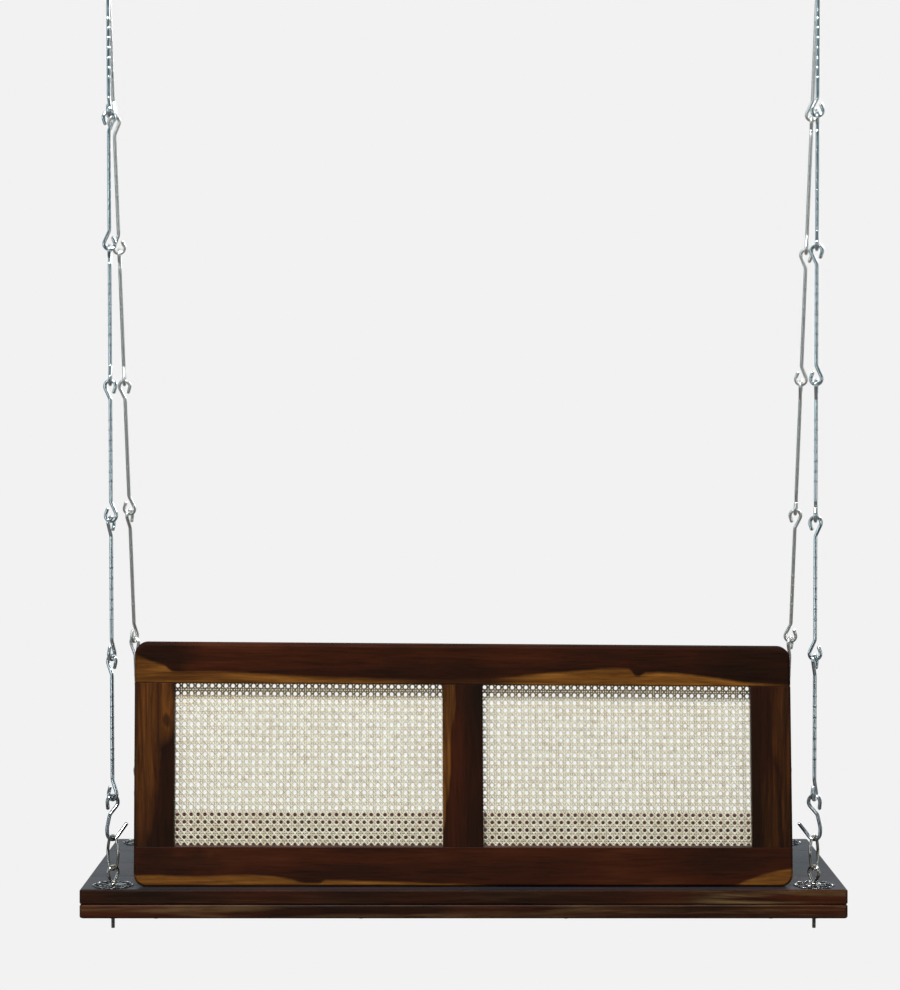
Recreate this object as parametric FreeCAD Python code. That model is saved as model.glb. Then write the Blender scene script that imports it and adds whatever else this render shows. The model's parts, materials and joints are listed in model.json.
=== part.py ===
import FreeCAD, Part
import math
import os

# A hanging swing for two: a wooden seat with a framed cane backrest, held by four chains of hooked rods.
# Millimetres. +X runs along the seat, +Y is where the sitter looks, +Z is up.
# The origin lies on the ceiling, midway between the two ceiling brackets.

# Seat
seat_width = 1220.0
seat_depth = 460.0
board_thickness = 24.0
board_count = 4
frame_thickness = 22.0
frame_rail_width = 60.0
batten_count = 3
seat_corner_cut = 4.0
seat_edge_bevel = 2.0

# Backrest
back_side_gap = 38.0
back_height = 388.0
back_thickness = 24.0
back_inset = 20.0
rail_height = 64.0
stile_width = 64.0
back_corner_radius = 20.0
back_edge_bevel = 4.0
rebate_width = 10.0
cane_thickness = 2.0
bead_thickness = 5.0
tenon_length = 32.0
tenon_thickness = 8.0
tenon_shoulder = 8.0
cane_columns = 14
cane_rows = 7
cane_strand_share = 0.34
cane_clearance = 0.3

# Seat cushion
cushion_thickness = 52.0
cushion_side_inset = 8.0
cushion_back_gap = 4.0
cushion_front_inset = 8.0
cushion_corner_radius = 28.0
cushion_edge_slope = 13.0

# Coach screws from below into the backrest
back_screw_count = 4
back_screw_radius = 3.5
back_screw_bite = 27.0
back_screw_head_radius = 7.5
back_screw_head_height = 5.0
screw_clearance = 0.3

# Eye bolts, flower washers and nuts
eye_end_inset = 49.0
eye_edge_inset = 37.0
eye_wire_radius = 2.4
eye_bend_radius = 10.0
eye_contact_height = 28.0
eye_foot_spread = 1.7
eye_turns = {"left": 45.0, "right": -45.0}
bolt_radius = 3.0
bolt_below_seat = 22.0
bolt_clearance = 0.3
collar_radius = 5.0
collar_height = 2.0
rosette_radius = 33.0
rosette_valley_radius = 28.5
rosette_thickness = 2.0
rosette_petals = 8
rosette_hole_inner = 10.5
rosette_hole_place = 20.0
rosette_hole_outer = 28.5
rosette_hole_half_width = 6.0
washer_radius = 9.0
washer_thickness = 1.5
nut_radius = 5.8
nut_height = 5.0

# Oval rings and S-hooks
ring_wire_radius = 2.4
ring_half_width = 11.5
ring_end_radius = 8.5
ring_reach = 48.0
ring_turns = {"left": -38.0, "right": 50.0}
hook_wire_radius = 3.0
hook_reach = 63.0
hook_top_bend_radius = 10.0
hook_neck_drop = 16.0
hook_tip_length = 12.0
hook_low_bend_radius = 10.5
hook_tail_length = 29.0
hook_knee_side = 5.7
hook_knee_drop = 20.0
hook_belly_height = 15.0
hook_turns = {"left": 220.0, "right": -32.0}

# Chain rods
rod_count = 6
rod_radius = 3.0
rod_bend_radius = 9.1
rod_neck_drop = 22.0
rod_tip_length = 10.0
rod_turns = {
    "left": (-38.0, 66.0, -8.0, -86.0, 200.0, -70.0),
    "right": (62.0, 166.0, 78.0, -18.0, -100.0, 180.0),
}
top_rod_twists = {"left": 70.0, "right": 0.0}
side_by_side = 4.0

# Play where two bent bars hang in each other
link_play = 0.5
top_play = 0.9

# Bars are drawn with flat sides, and their bends with short straight runs
hexagon_side_count = 6
fitting_flat_count = 8
rod_flat_count = 8
bend_run_count = 5
ring_run_count = 5
low_bend_run_count = 4
low_bend_step = 28.0

# Hanging: height, spread and balance
chain_drop = 1444.0
top_spread = 31.0
balance_offset = 19.3

# Ceiling brackets, pins and hangers
plate_length = 110.0
plate_width = 60.0
plate_thickness = 6.0
ceiling_screw_spacing = 80.0
ceiling_screw_hole_radius = 4.25
pin_depth = 36.0
ear_thickness = 6.0
ear_half_width = 14.0
ear_gap = 26.0
pin_radius = 5.0
pin_running_clearance = 0.05
pin_seat_clearance = 0.05
pin_head_radius = 9.0
pin_head_height = 5.0
pin_end_length = 3.0
hanger_block_radius = 11.0
hanger_side_play = 0.5
hanger_bar_radius = 4.0
hanger_eye_half_width = 13.0
hanger_eye_height = 30.0
hanger_eye_corner = 6.0
hanger_neck_length = 9.0
hanger_neck_radius = 6.0

# One overrun serves all cuts
overrun = 1.0

# Places that follow from the sizes
eye_x = seat_width / 2 - eye_end_inset
eye_y = seat_depth / 2 - eye_edge_inset
back_width = 2 * (eye_x - back_side_gap)
top_x = eye_x + top_spread
hanger_eye_top = hanger_block_radius + hanger_neck_length + hanger_bar_radius
top_contact_z = (
    -pin_depth - hanger_eye_top - hanger_eye_height + hanger_bar_radius + top_play / 2
)
eye_contact_z = top_contact_z - chain_drop
seat_top_z = eye_contact_z - eye_contact_height
board_bottom_z = seat_top_z - board_thickness
seat_bottom_z = board_bottom_z - frame_thickness
seat_y = balance_offset
back_y = seat_y - seat_depth / 2 + back_inset
rebate_y = back_y + back_thickness - cane_thickness - bead_thickness
opening_width = (back_width - 3 * stile_width) / 2
opening_height = back_height - 2 * rail_height

SIDES = {"left": -1.0, "right": 1.0}
DEPTHS = {"near": -1.0, "far": 1.0}
ALONG_X = FreeCAD.Vector(1, 0, 0)
ALONG_Y = FreeCAD.Vector(0, 1, 0)
ALONG_Z = FreeCAD.Vector(0, 0, 1)


# Plain building blocks


def block(x_low, x_high, y_low, y_high, z_low, z_high):
    """A box between two corners."""
    corner = FreeCAD.Vector(x_low, y_low, z_low)
    return Part.makeBox(x_high - x_low, y_high - y_low, z_high - z_low, corner)


def upright_prism(x, y, z_low, z_high, radius, sides):
    """A standing prism whose corners lie on a circle."""
    corners = []
    for i in range(sides):
        angle = 2 * math.pi * (i + 0.5) / sides
        corners.append(
            FreeCAD.Vector(x + radius * math.cos(angle), y + radius * math.sin(angle), z_low)
        )
    outline = Part.makePolygon(corners + corners[:1])
    return Part.Face(outline).extrude(FreeCAD.Vector(0, 0, z_high - z_low))


def upright_rod(x, y, z_low, z_high, radius):
    """A standing round bar."""
    return Part.makeCylinder(radius, z_high - z_low, FreeCAD.Vector(x, y, z_low))


def group(solids):
    """Separate solids kept together in one piece."""
    return Part.makeCompound(solids)


# Bars bent from rod


def bar_along(path, radius, flats, closed=False):
    """A bar with flat sides along a path, mitred at every corner. The path starts in the X-Z plane."""
    runs = [there - here for here, there in zip(path, path[1:] + path[:1])]
    headings = [FreeCAD.Vector(run).normalize() for run in runs]
    if not closed:
        headings[-1] = headings[-2]
    side = ALONG_Y.cross(headings[0])
    corner_radius = radius / math.cos(math.pi / flats)
    ring = []
    for k in range(flats):
        angle = 2 * math.pi * (k + 0.5) / flats
        across = side * math.cos(angle) + ALONG_Y * math.sin(angle)
        ring.append(path[0] + across * corner_radius)
    rings = []
    for i, point in enumerate(path):
        onto = headings[i] if i == 0 and not closed else headings[i] + headings[i - 1]
        along = headings[i] if i == 0 else headings[i - 1]
        ring = [c + along * (onto.dot(point - c) / onto.dot(along)) for c in ring]
        rings.append(ring)
    faces = []
    pairs = list(zip(rings, rings[1:]))
    if closed:
        pairs.append((rings[-1], rings[0]))
    else:
        faces.append(Part.Face(Part.makePolygon(rings[0] + rings[0][:1])))
        faces.append(Part.Face(Part.makePolygon(rings[-1] + rings[-1][:1])))
    for here, there in pairs:
        for k in range(flats):
            n = (k + 1) % flats
            corners = [here[k], here[n], there[n], there[k], here[k]]
            faces.append(Part.Face(Part.makePolygon(corners)))
    shell = Part.makeShell(faces)
    shell.sewShape()
    solid = Part.Solid(shell)
    if solid.Volume < 0:
        solid.reverse()
    return solid


def bend_over(centre_z, radius, tangent_turn):
    """Corners of a bend over the top of a centre, with a level run at its very top.

    The straight runs before and after the bend touch its circle tangent_turn degrees from the top.
    """
    half_turn = tangent_turn / (1 + 1 / bend_run_count)
    step = 2 * half_turn / bend_run_count
    corner_radius = radius / math.cos(math.radians(step / 2))
    corners = []
    for i in range(bend_run_count + 1):
        angle = math.radians(90 + half_turn - step * i)
        corners.append(
            FreeCAD.Vector(
                corner_radius * math.cos(angle), 0, centre_z + corner_radius * math.sin(angle)
            )
        )
    return corners


def onward(corners, length):
    """The end of a straight run that goes on past the last corner, turning inwards by the same step."""
    before = corners[-1] - corners[-2]
    earlier = corners[-2] - corners[-3]
    step = math.atan2(before.x, before.z) - math.atan2(earlier.x, earlier.z)
    heading = math.atan2(before.x, before.z) + step
    return corners[-1] + FreeCAD.Vector(math.sin(heading), 0, math.cos(heading)) * length


def hooked_rod(reach, low_play, high_play, twist):
    """A chain rod with an open hook at each end, the upper one turned about the rod by the twist.

    It stands with its lower contact at the origin and its lower hook in the X-Z plane.
    """
    tangent_turn = 90 + math.degrees(math.asin(rod_bend_radius / rod_neck_drop))

    def half(play):
        bend_z = reach / 2 + play / 2 - rod_bend_radius + rod_radius
        bend = bend_over(bend_z, rod_bend_radius, tangent_turn)
        neck = FreeCAD.Vector(0, 0, bend_z - rod_neck_drop)
        return [neck] + bend + [onward(bend, rod_tip_length)]

    middle = FreeCAD.Vector(0, 0, reach / 2)
    turn = FreeCAD.Rotation(ALONG_Z, twist)
    lower = [middle - point for point in reversed(half(low_play))]
    upper = [middle + turn.multVec(point) for point in half(high_play)]
    return bar_along(lower + upper, rod_radius, rod_flat_count)


def s_hook(reach):
    """An S-hook with a small upper hook and a wide lower hook whose tail stands off."""
    tangent_turn = 90 + math.degrees(math.asin(hook_top_bend_radius / hook_neck_drop))
    top_z = reach + link_play / 2 - hook_top_bend_radius + hook_wire_radius
    low_z = -link_play / 2 - hook_wire_radius + hook_low_bend_radius
    top_bend = bend_over(top_z, hook_top_bend_radius, tangent_turn)[:-1]
    tip = onward(top_bend, hook_tip_length)
    knee = FreeCAD.Vector(hook_knee_side, 0, top_z - hook_knee_drop)
    belly = FreeCAD.Vector(hook_low_bend_radius, 0, hook_belly_height)
    corner_radius = hook_low_bend_radius / math.cos(math.radians(low_bend_step / 2))
    low_bend = []
    for i in range(low_bend_run_count + 1):
        angle = math.radians(-low_bend_step / 2 - low_bend_step * i)
        low_bend.append(
            FreeCAD.Vector(corner_radius * math.cos(angle), 0, low_z + corner_radius * math.sin(angle))
        )
    tail = onward(low_bend, hook_tail_length)
    path = [tip] + top_bend[::-1] + [knee, belly] + low_bend + [tail]
    return bar_along(path, hook_wire_radius, fitting_flat_count)


def oval_ring(reach):
    """A closed oval link that stands with its lower contact at the origin."""
    middle_z = reach / 2
    end_z = middle_z + link_play / 2 + ring_wire_radius - ring_end_radius
    side_radius = (ring_half_width**2 + end_z**2 - ring_end_radius**2) / (
        2 * (ring_half_width - ring_end_radius)
    )
    side_angle = math.atan2(end_z, side_radius - ring_half_width)
    step = (math.pi - 2 * side_angle) / ring_run_count
    corner_radius = ring_end_radius / math.cos(step / 2)
    path = []
    for way, start in ((1.0, side_angle), (-1.0, math.pi + side_angle)):
        for i in range(ring_run_count + 1):
            angle = start + step * i
            path.append(
                FreeCAD.Vector(
                    corner_radius * math.cos(angle),
                    0,
                    middle_z + way * end_z + corner_radius * math.sin(angle),
                )
            )
        path.append(FreeCAD.Vector(-way * ring_half_width, 0, middle_z))
    return bar_along(path, ring_wire_radius, fitting_flat_count, closed=True)


def placed(solid, low, high, facing):
    """Stands a solid on the line from low to high, its own X turned to the facing direction."""
    along = (high - low).normalize()
    across = (facing - along * facing.dot(along)).normalize()
    turn = FreeCAD.Rotation(across, along.cross(across), along, "ZXY")
    return solid.transformed(FreeCAD.Placement(low, turn).toMatrix(), copy=True)


def turned_facing(degrees):
    """A level direction, turned from +X towards +Y."""
    return FreeCAD.Vector(math.cos(math.radians(degrees)), math.sin(math.radians(degrees)), 0)


# The chains


def chain_points(side, depth):
    """The contact points of one chain, from the eye bolt up to the hanger."""
    x_sign = SIDES[side]
    y_sign = DEPTHS[depth]
    low = FreeCAD.Vector(x_sign * eye_x, seat_y + y_sign * eye_y, eye_contact_z)
    high = FreeCAD.Vector(x_sign * top_x, y_sign * side_by_side, top_contact_z)
    along = (high - low).normalize()
    pitch = ((high - low).Length - ring_reach - hook_reach) / rod_count
    points = [low, low + along * ring_reach, low + along * (ring_reach + hook_reach)]
    for _ in range(rod_count):
        points.append(points[-1] + along * pitch)
    return points


def chain_parts(side, depth):
    """The ring, hook and rods of one chain, by name."""
    points = chain_points(side, depth)
    name = f"{depth}_{side}"
    ring_facing = turned_facing(ring_turns[side])
    hook_facing = turned_facing(hook_turns[side])
    parts = {
        f"{name}_oval_ring": placed(oval_ring(ring_reach), points[0], points[1], ring_facing),
        f"{name}_s_hook": placed(s_hook(hook_reach), points[1], points[2], hook_facing),
    }
    for number in range(1, rod_count + 1):
        low = points[number + 1]
        high = points[number + 2]
        is_top = number == rod_count
        twist = top_rod_twists[side] if is_top else 0.0
        high_play = top_play if is_top else link_play
        rod = hooked_rod((high - low).Length, link_play, high_play, twist)
        facing = turned_facing(rod_turns[side][number - 1])
        parts[f"{name}_rod_{number}"] = placed(rod, low, high, facing)
    return parts


# The seat


def eye_places():
    """Where the four eye bolts stand on the seat."""
    return [(x * eye_x, seat_y + y * eye_y) for x in SIDES.values() for y in DEPTHS.values()]


def back_screw_places():
    """Where the coach screws go up into the backrest."""
    span = back_width - stile_width
    y = back_y + back_thickness / 2
    return [(-span / 2 + span * i / (back_screw_count - 1), y) for i in range(back_screw_count)]


def bolt_hole(x, y, z_low, z_high):
    """The clearance hole of an eye bolt."""
    return upright_prism(x, y, z_low, z_high, bolt_radius + bolt_clearance, fitting_flat_count)


def seat_layer(z_low, z_high):
    """One full layer of the seat, its corners cut back and its edges bevelled."""
    half_w = seat_width / 2
    half_d = seat_depth / 2
    layer = block(-half_w, half_w, seat_y - half_d, seat_y + half_d, z_low, z_high)
    standing = [e for e in layer.Edges if abs(e.tangentAt(e.FirstParameter).z) > 0.5]
    layer = layer.makeChamfer(seat_corner_cut, standing)
    level = [e for e in layer.Edges if e.BoundBox.ZLength < seat_edge_bevel / 2]
    return layer.makeChamfer(seat_edge_bevel, level)


def seat_holes():
    """The eye bolts' holes and the coach screws' holes through both layers."""
    low = seat_bottom_z - overrun
    high = seat_top_z + overrun
    holes = [bolt_hole(x, y, low, high) for x, y in eye_places()]
    holes += [
        upright_prism(x, y, low, high, back_screw_radius + screw_clearance, hexagon_side_count)
        for x, y in back_screw_places()
    ]
    return group(holes)


def seat_boards():
    """The top layer, glued up from boards."""
    layer = seat_layer(board_bottom_z, seat_top_z).cut(seat_holes())
    width = seat_depth / board_count
    boards = {}
    for i in range(board_count):
        y = seat_y - seat_depth / 2 + i * width
        strip = block(-seat_width, seat_width, y, y + width, board_bottom_z, seat_top_z)
        boards[f"seat_board_{i + 1}"] = layer.common(strip)
    return boards


def seat_frame():
    """The lower layer: two long rails, two end rails and the battens between them."""
    layer = seat_layer(seat_bottom_z, board_bottom_z).cut(seat_holes())
    near_y = seat_y - seat_depth / 2 + frame_rail_width
    far_y = seat_y + seat_depth / 2 - frame_rail_width
    inner_x = seat_width / 2 - frame_rail_width

    def cut_out(x_low, x_high, y_low, y_high):
        region = block(x_low, x_high, y_low, y_high, seat_bottom_z, board_bottom_z)
        return layer.common(region)

    spacing = 2 * inner_x / (batten_count + 1)
    battens = []
    for i in range(batten_count):
        x = -inner_x + spacing * (i + 1)
        battens.append(
            cut_out(x - frame_rail_width / 2, x + frame_rail_width / 2, near_y, far_y)
        )
    return {
        "seat_rail_back": cut_out(-seat_width, seat_width, near_y - frame_rail_width, near_y),
        "seat_rail_front": cut_out(-seat_width, seat_width, far_y, far_y + frame_rail_width),
        "seat_rail_left": cut_out(-seat_width / 2, -inner_x, near_y, far_y),
        "seat_rail_right": cut_out(inner_x, seat_width / 2, near_y, far_y),
        "seat_battens": group([s for b in battens for s in b.Solids]),
    }


def seat_cushion():
    """A flat cushion between the backrest and the seat's front edge, its edges sloped."""
    cushion = block(
        cushion_side_inset - back_width / 2,
        back_width / 2 - cushion_side_inset,
        back_y + back_thickness + cushion_back_gap,
        seat_y + seat_depth / 2 - cushion_front_inset,
        seat_top_z,
        seat_top_z + cushion_thickness,
    )
    standing = [e for e in cushion.Edges if abs(e.tangentAt(e.FirstParameter).z) > 0.5]
    cushion = cushion.makeFillet(cushion_corner_radius, standing)
    level = [e for e in cushion.Edges if e.BoundBox.ZLength < cushion_edge_slope / 2]
    return cushion.makeChamfer(cushion_edge_slope, level)


# The backrest


def opening_places():
    """The middle of each of the two cane openings."""
    return {name: x * (opening_width + stile_width) / 2 for name, x in SIDES.items()}


def back_blank():
    """The whole backrest outline, corners rounded and edges bevelled, before it is cut apart."""
    blank = block(
        -back_width / 2,
        back_width / 2,
        back_y,
        back_y + back_thickness,
        seat_top_z,
        seat_top_z + back_height,
    )
    corners = [e for e in blank.Edges if abs(e.tangentAt(e.FirstParameter).y) > 0.5]
    blank = blank.makeFillet(back_corner_radius, corners)
    rim = [e for e in blank.Edges if e.BoundBox.YLength < back_edge_bevel / 2]
    return blank.makeChamfer(back_edge_bevel, rim)


def rebates():
    """The openings and the wider rebates round them, open to the sitter's side."""
    low_z = seat_top_z + rail_height
    high_z = low_z + opening_height
    cuts = []
    for x in opening_places().values():
        half = opening_width / 2
        cuts.append(
            block(x - half, x + half, back_y - overrun, rebate_y + overrun, low_z, high_z)
        )
        cuts.append(
            block(
                x - half - rebate_width,
                x + half + rebate_width,
                rebate_y,
                back_y + back_thickness + overrun,
                low_z - rebate_width,
                high_z + rebate_width,
            )
        )
    return group(cuts)


def tenons():
    """The tenons of each upright, in the top and the bottom rail."""
    half = stile_width / 2 - tenon_shoulder - rebate_width
    y = back_y + (rebate_y - back_y) / 2
    low_z = seat_top_z + rail_height
    high_z = low_z + opening_height
    places = {
        "back_stile_left": -(back_width - stile_width) / 2,
        "back_mullion": 0.0,
        "back_stile_right": (back_width - stile_width) / 2,
    }
    result = {}
    for name, x in places.items():
        result[name] = [
            block(
                x - half,
                x + half,
                y - tenon_thickness / 2,
                y + tenon_thickness / 2,
                end_z - tenon_length,
                end_z,
            )
            for end_z in (low_z, high_z + tenon_length)
        ]
    return result


def back_frame():
    """The two rails and three uprights of the backrest."""
    blank = back_blank().cut(rebates())
    low_z = seat_top_z + rail_height
    high_z = low_z + opening_height
    y_low = back_y
    y_high = back_y + back_thickness
    half = back_width / 2
    all_tenons = tenons()
    mortises = group([t for pair in all_tenons.values() for t in pair])
    bottom = blank.common(block(-half, half, y_low, y_high, seat_top_z, low_z)).cut(mortises)
    top = blank.common(block(-half, half, y_low, y_high, high_z, high_z + rail_height))
    pilot_holes = group(
        [
            upright_prism(
                x,
                y,
                seat_top_z - overrun,
                seat_top_z + back_screw_bite,
                back_screw_radius + screw_clearance,
                hexagon_side_count,
            )
            for x, y in back_screw_places()
        ]
    )
    parts = {
        "back_top_rail": top.cut(mortises),
        "back_bottom_rail": bottom.cut(pilot_holes),
    }
    starts = {
        "back_stile_left": -half,
        "back_mullion": -stile_width / 2,
        "back_stile_right": half - stile_width,
    }
    for name, x in starts.items():
        upright = blank.common(block(x, x + stile_width, y_low, y_high, low_z, high_z))
        parts[name] = upright.fuse(all_tenons[name]).removeSplitter()
    return parts


def cane_panel(x):
    """One cane panel: a flat net with a plain border that lies in the rebate."""
    y = rebate_y
    half_w = opening_width / 2 + rebate_width - cane_clearance
    low_z = seat_top_z + rail_height - rebate_width + cane_clearance
    high_z = seat_top_z + back_height - rail_height + rebate_width - cane_clearance

    def outline(x_low, x_high, z_low, z_high):
        corners = [
            FreeCAD.Vector(x_low, y, z_low),
            FreeCAD.Vector(x_high, y, z_low),
            FreeCAD.Vector(x_high, y, z_high),
            FreeCAD.Vector(x_low, y, z_high),
        ]
        return Part.makePolygon(corners + corners[:1])

    pitch_x = opening_width / cane_columns
    pitch_z = opening_height / cane_rows
    strand = cane_strand_share * pitch_x
    gaps = []
    for i in range(cane_columns):
        for j in range(cane_rows):
            gap_x = x - opening_width / 2 + i * pitch_x + strand / 2
            gap_z = seat_top_z + rail_height + j * pitch_z + strand / 2
            gaps.append(outline(gap_x, gap_x + pitch_x - strand, gap_z, gap_z + pitch_z - strand))
    border = outline(x - half_w, x + half_w, low_z, high_z)
    net = Part.makeFace([border] + gaps, "Part::FaceMakerCheese")
    return net.extrude(ALONG_Y * cane_thickness)


def cane_beads():
    """The strips that hold both cane panels in their rebates."""
    y_low = rebate_y + cane_thickness
    y_high = y_low + bead_thickness
    low_z = seat_top_z + rail_height
    high_z = low_z + opening_height
    strips = []
    for x in opening_places().values():
        x_low = x - opening_width / 2
        x_high = x + opening_width / 2
        for z in (low_z - rebate_width, high_z):
            strips.append(
                block(x_low - rebate_width, x_high + rebate_width, y_low, y_high, z, z + rebate_width)
            )
        for x_start in (x_low - rebate_width, x_high):
            strips.append(
                block(x_start, x_start + rebate_width, y_low, y_high, low_z, high_z)
            )
    return group(strips)


def back_screws():
    """Coach screws with hexagon_side_count heads under the seat."""
    screws = []
    for x, y in back_screw_places():
        shank = upright_prism(
            x,
            y,
            seat_bottom_z - overrun,
            seat_top_z + back_screw_bite - screw_clearance,
            back_screw_radius,
            hexagon_side_count,
        )
        head = upright_prism(
            x,
            y,
            seat_bottom_z - back_screw_head_height,
            seat_bottom_z,
            back_screw_head_radius,
            hexagon_side_count,
        )
        screws.append(shank.fuse(head).removeSplitter())
    return group([s for screw in screws for s in screw.Solids])


# Eye bolts and what sits on them


def eye_bolt(x, y, side):
    """A drop-shaped eye on a threaded shank, standing on its flower washer."""
    bend_z = eye_contact_height + link_play / 2 + eye_wire_radius - eye_bend_radius
    base_z = rosette_thickness + collar_height / 2
    tangent_turn = 90 + math.degrees(math.asin(eye_bend_radius / (bend_z - base_z)))
    bend = bend_over(bend_z, eye_bend_radius, tangent_turn)
    left_foot = FreeCAD.Vector(-eye_foot_spread, 0, base_z)
    right_foot = FreeCAD.Vector(eye_foot_spread, 0, base_z)
    eye = bar_along([left_foot] + bend + [right_foot], eye_wire_radius, fitting_flat_count)
    foot = FreeCAD.Vector(x, y, seat_top_z)
    eye = placed(eye, foot, foot + ALONG_Z, turned_facing(eye_turns[side]))
    low = seat_bottom_z - bolt_below_seat
    collar_low = seat_top_z + rosette_thickness
    high = collar_low + collar_height
    shank = upright_prism(x, y, low, high, bolt_radius, fitting_flat_count)
    collar = upright_prism(x, y, collar_low, high, collar_radius, fitting_flat_count)
    return eye.fuse([shank, collar]).removeSplitter()


def rosette(x, y):
    """A thin pierced flower washer."""
    corners = []
    for i in range(2 * rosette_petals):
        angle = math.pi * i / rosette_petals
        radius = rosette_radius if i % 2 == 0 else rosette_valley_radius
        corners.append(
            FreeCAD.Vector(x + radius * math.cos(angle), y + radius * math.sin(angle), seat_top_z)
        )
    flower = Part.Face(Part.makePolygon(corners + corners[:1]))
    flower = flower.extrude(ALONG_Z * rosette_thickness)
    low = seat_top_z - overrun
    high = seat_top_z + rosette_thickness + overrun
    cuts = [bolt_hole(x, y, low, high)]
    for i in range(rosette_petals):
        angle = 2 * math.pi * i / rosette_petals
        places = [
            (rosette_hole_inner, 0.0),
            (rosette_hole_place, rosette_hole_half_width),
            (rosette_hole_outer, 0.0),
            (rosette_hole_place, -rosette_hole_half_width),
        ]
        petal = []
        for out, aside in places:
            hole_x = x + out * math.cos(angle) - aside * math.sin(angle)
            hole_y = y + out * math.sin(angle) + aside * math.cos(angle)
            petal.append(FreeCAD.Vector(hole_x, hole_y, low))
        petal_hole = Part.Face(Part.makePolygon(petal + petal[:1]))
        cuts.append(petal_hole.extrude(ALONG_Z * (high - low)))
    return flower.cut(group(cuts))


def bolt_washer(x, y):
    """The plain washer under the seat."""
    low = seat_bottom_z - washer_thickness
    disc = upright_prism(x, y, low, seat_bottom_z, washer_radius, 2 * fitting_flat_count)
    return disc.cut(bolt_hole(x, y, low - overrun, seat_bottom_z + overrun))


def bolt_nut(x, y):
    """The hexagon_side_count nut on the shank."""
    high = seat_bottom_z - washer_thickness
    low = high - nut_height
    body = upright_prism(x, y, low, high, nut_radius, hexagon_side_count)
    thread = upright_prism(x, y, low - overrun, high + overrun, bolt_radius, fitting_flat_count)
    return body.cut(thread)


def seat_hardware():
    """The four eye bolts with their flower washers, washers and nuts."""
    places = eye_places()
    bolts = [eye_bolt(x, y, "left" if x < 0 else "right") for x, y in places]
    return {
        "eye_bolts": group([s for b in bolts for s in b.Solids]),
        "rosette_washers": group([s for x, y in places for s in rosette(x, y).Solids]),
        "bolt_nuts_and_washers": group(
            [s for x, y in places for s in bolt_washer(x, y).Solids + bolt_nut(x, y).Solids]
        ),
    }


# Ceiling fittings


def cross_rod(x_low, x_high, radius):
    """A round bar along X at the height of the pins."""
    start = FreeCAD.Vector(x_low, 0, -pin_depth)
    return Part.makeCylinder(radius, x_high - x_low, start, ALONG_X)


def ceiling_bracket(x):
    """A plate with two ears that carry the pivot pin."""
    plate = block(
        x - plate_width / 2,
        x + plate_width / 2,
        -plate_length / 2,
        plate_length / 2,
        -plate_thickness,
        0,
    )
    for sign in (-1, 1):
        hole_y = sign * ceiling_screw_spacing / 2
        plate = plate.cut(
            upright_rod(x, hole_y, -plate_thickness - overrun, overrun, ceiling_screw_hole_radius)
        )
    foot = ear_half_width * 2
    slope = ear_half_width / 2
    outline = [
        (-foot, -plate_thickness),
        (-ear_half_width, -pin_depth),
        (-slope, -pin_depth - ear_half_width),
        (slope, -pin_depth - ear_half_width),
        (ear_half_width, -pin_depth),
        (foot, -plate_thickness),
    ]
    ears = []
    for x_low in (x - ear_gap / 2 - ear_thickness, x + ear_gap / 2):
        corners = [FreeCAD.Vector(x_low, y, z) for y, z in outline]
        ear = Part.Face(Part.makePolygon(corners + corners[:1])).extrude(ALONG_X * ear_thickness)
        ears.append(ear)
    bore = cross_rod(
        x - ear_gap / 2 - ear_thickness - overrun,
        x + ear_gap / 2 + ear_thickness + overrun,
        pin_radius + pin_seat_clearance,
    )
    return plate.fuse(ears).removeSplitter().cut(bore)


def pivot_pin(x):
    """The headed pin that the hanger swings on."""
    reach = ear_gap / 2 + ear_thickness
    pin = cross_rod(x - reach, x + reach + pin_end_length, pin_radius)
    corners = []
    for i in range(hexagon_side_count):
        angle = 2 * math.pi * (i + 0.5) / hexagon_side_count
        corners.append(
            FreeCAD.Vector(
                x - reach - pin_head_height,
                pin_head_radius * math.cos(angle),
                -pin_depth + pin_head_radius * math.sin(angle),
            )
        )
    head = Part.Face(Part.makePolygon(corners + corners[:1])).extrude(ALONG_X * pin_head_height)
    return pin.fuse(head).removeSplitter()


def hanger(x):
    """A block that turns on the pin, with a closed eye below it for the two chains of its side."""
    half = ear_gap / 2 - hanger_side_play
    corners = []
    for i in range(fitting_flat_count):
        angle = 2 * math.pi * (i + 0.5) / fitting_flat_count
        corners.append(
            FreeCAD.Vector(
                x - half,
                hanger_block_radius * math.cos(angle),
                -pin_depth + hanger_block_radius * math.sin(angle),
            )
        )
    body = Part.Face(Part.makePolygon(corners + corners[:1])).extrude(ALONG_X * (2 * half))
    high = -hanger_eye_top
    low = high - hanger_eye_height
    near_side = hanger_eye_half_width
    corner = hanger_eye_corner
    path = [
        FreeCAD.Vector(near_side, 0, low + corner),
        FreeCAD.Vector(near_side, 0, high - corner),
        FreeCAD.Vector(near_side - corner, 0, high),
        FreeCAD.Vector(corner - near_side, 0, high),
        FreeCAD.Vector(-near_side, 0, high - corner),
        FreeCAD.Vector(-near_side, 0, low + corner),
        FreeCAD.Vector(corner - near_side, 0, low),
        FreeCAD.Vector(near_side - corner, 0, low),
    ]
    eye = bar_along(path, hanger_bar_radius, fitting_flat_count, closed=True)
    pin_centre = FreeCAD.Vector(x, 0, -pin_depth)
    eye = placed(eye, pin_centre, pin_centre + ALONG_Z, ALONG_Y)
    neck = upright_prism(
        x, 0, -pin_depth - hanger_eye_top, -pin_depth, hanger_neck_radius, fitting_flat_count
    )
    bore = cross_rod(x - half - overrun, x + half + overrun, pin_radius + pin_running_clearance)
    return body.fuse([neck, eye]).removeSplitter().cut(bore)


def ceiling_parts():
    """Brackets, pins and hangers of both sides."""
    parts = {}
    for name, sign in SIDES.items():
        parts[f"ceiling_bracket_{name}"] = ceiling_bracket(sign * top_x)
        parts[f"pivot_pin_{name}"] = pivot_pin(sign * top_x)
        parts[f"hanger_{name}"] = hanger(sign * top_x)
    return parts


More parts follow.
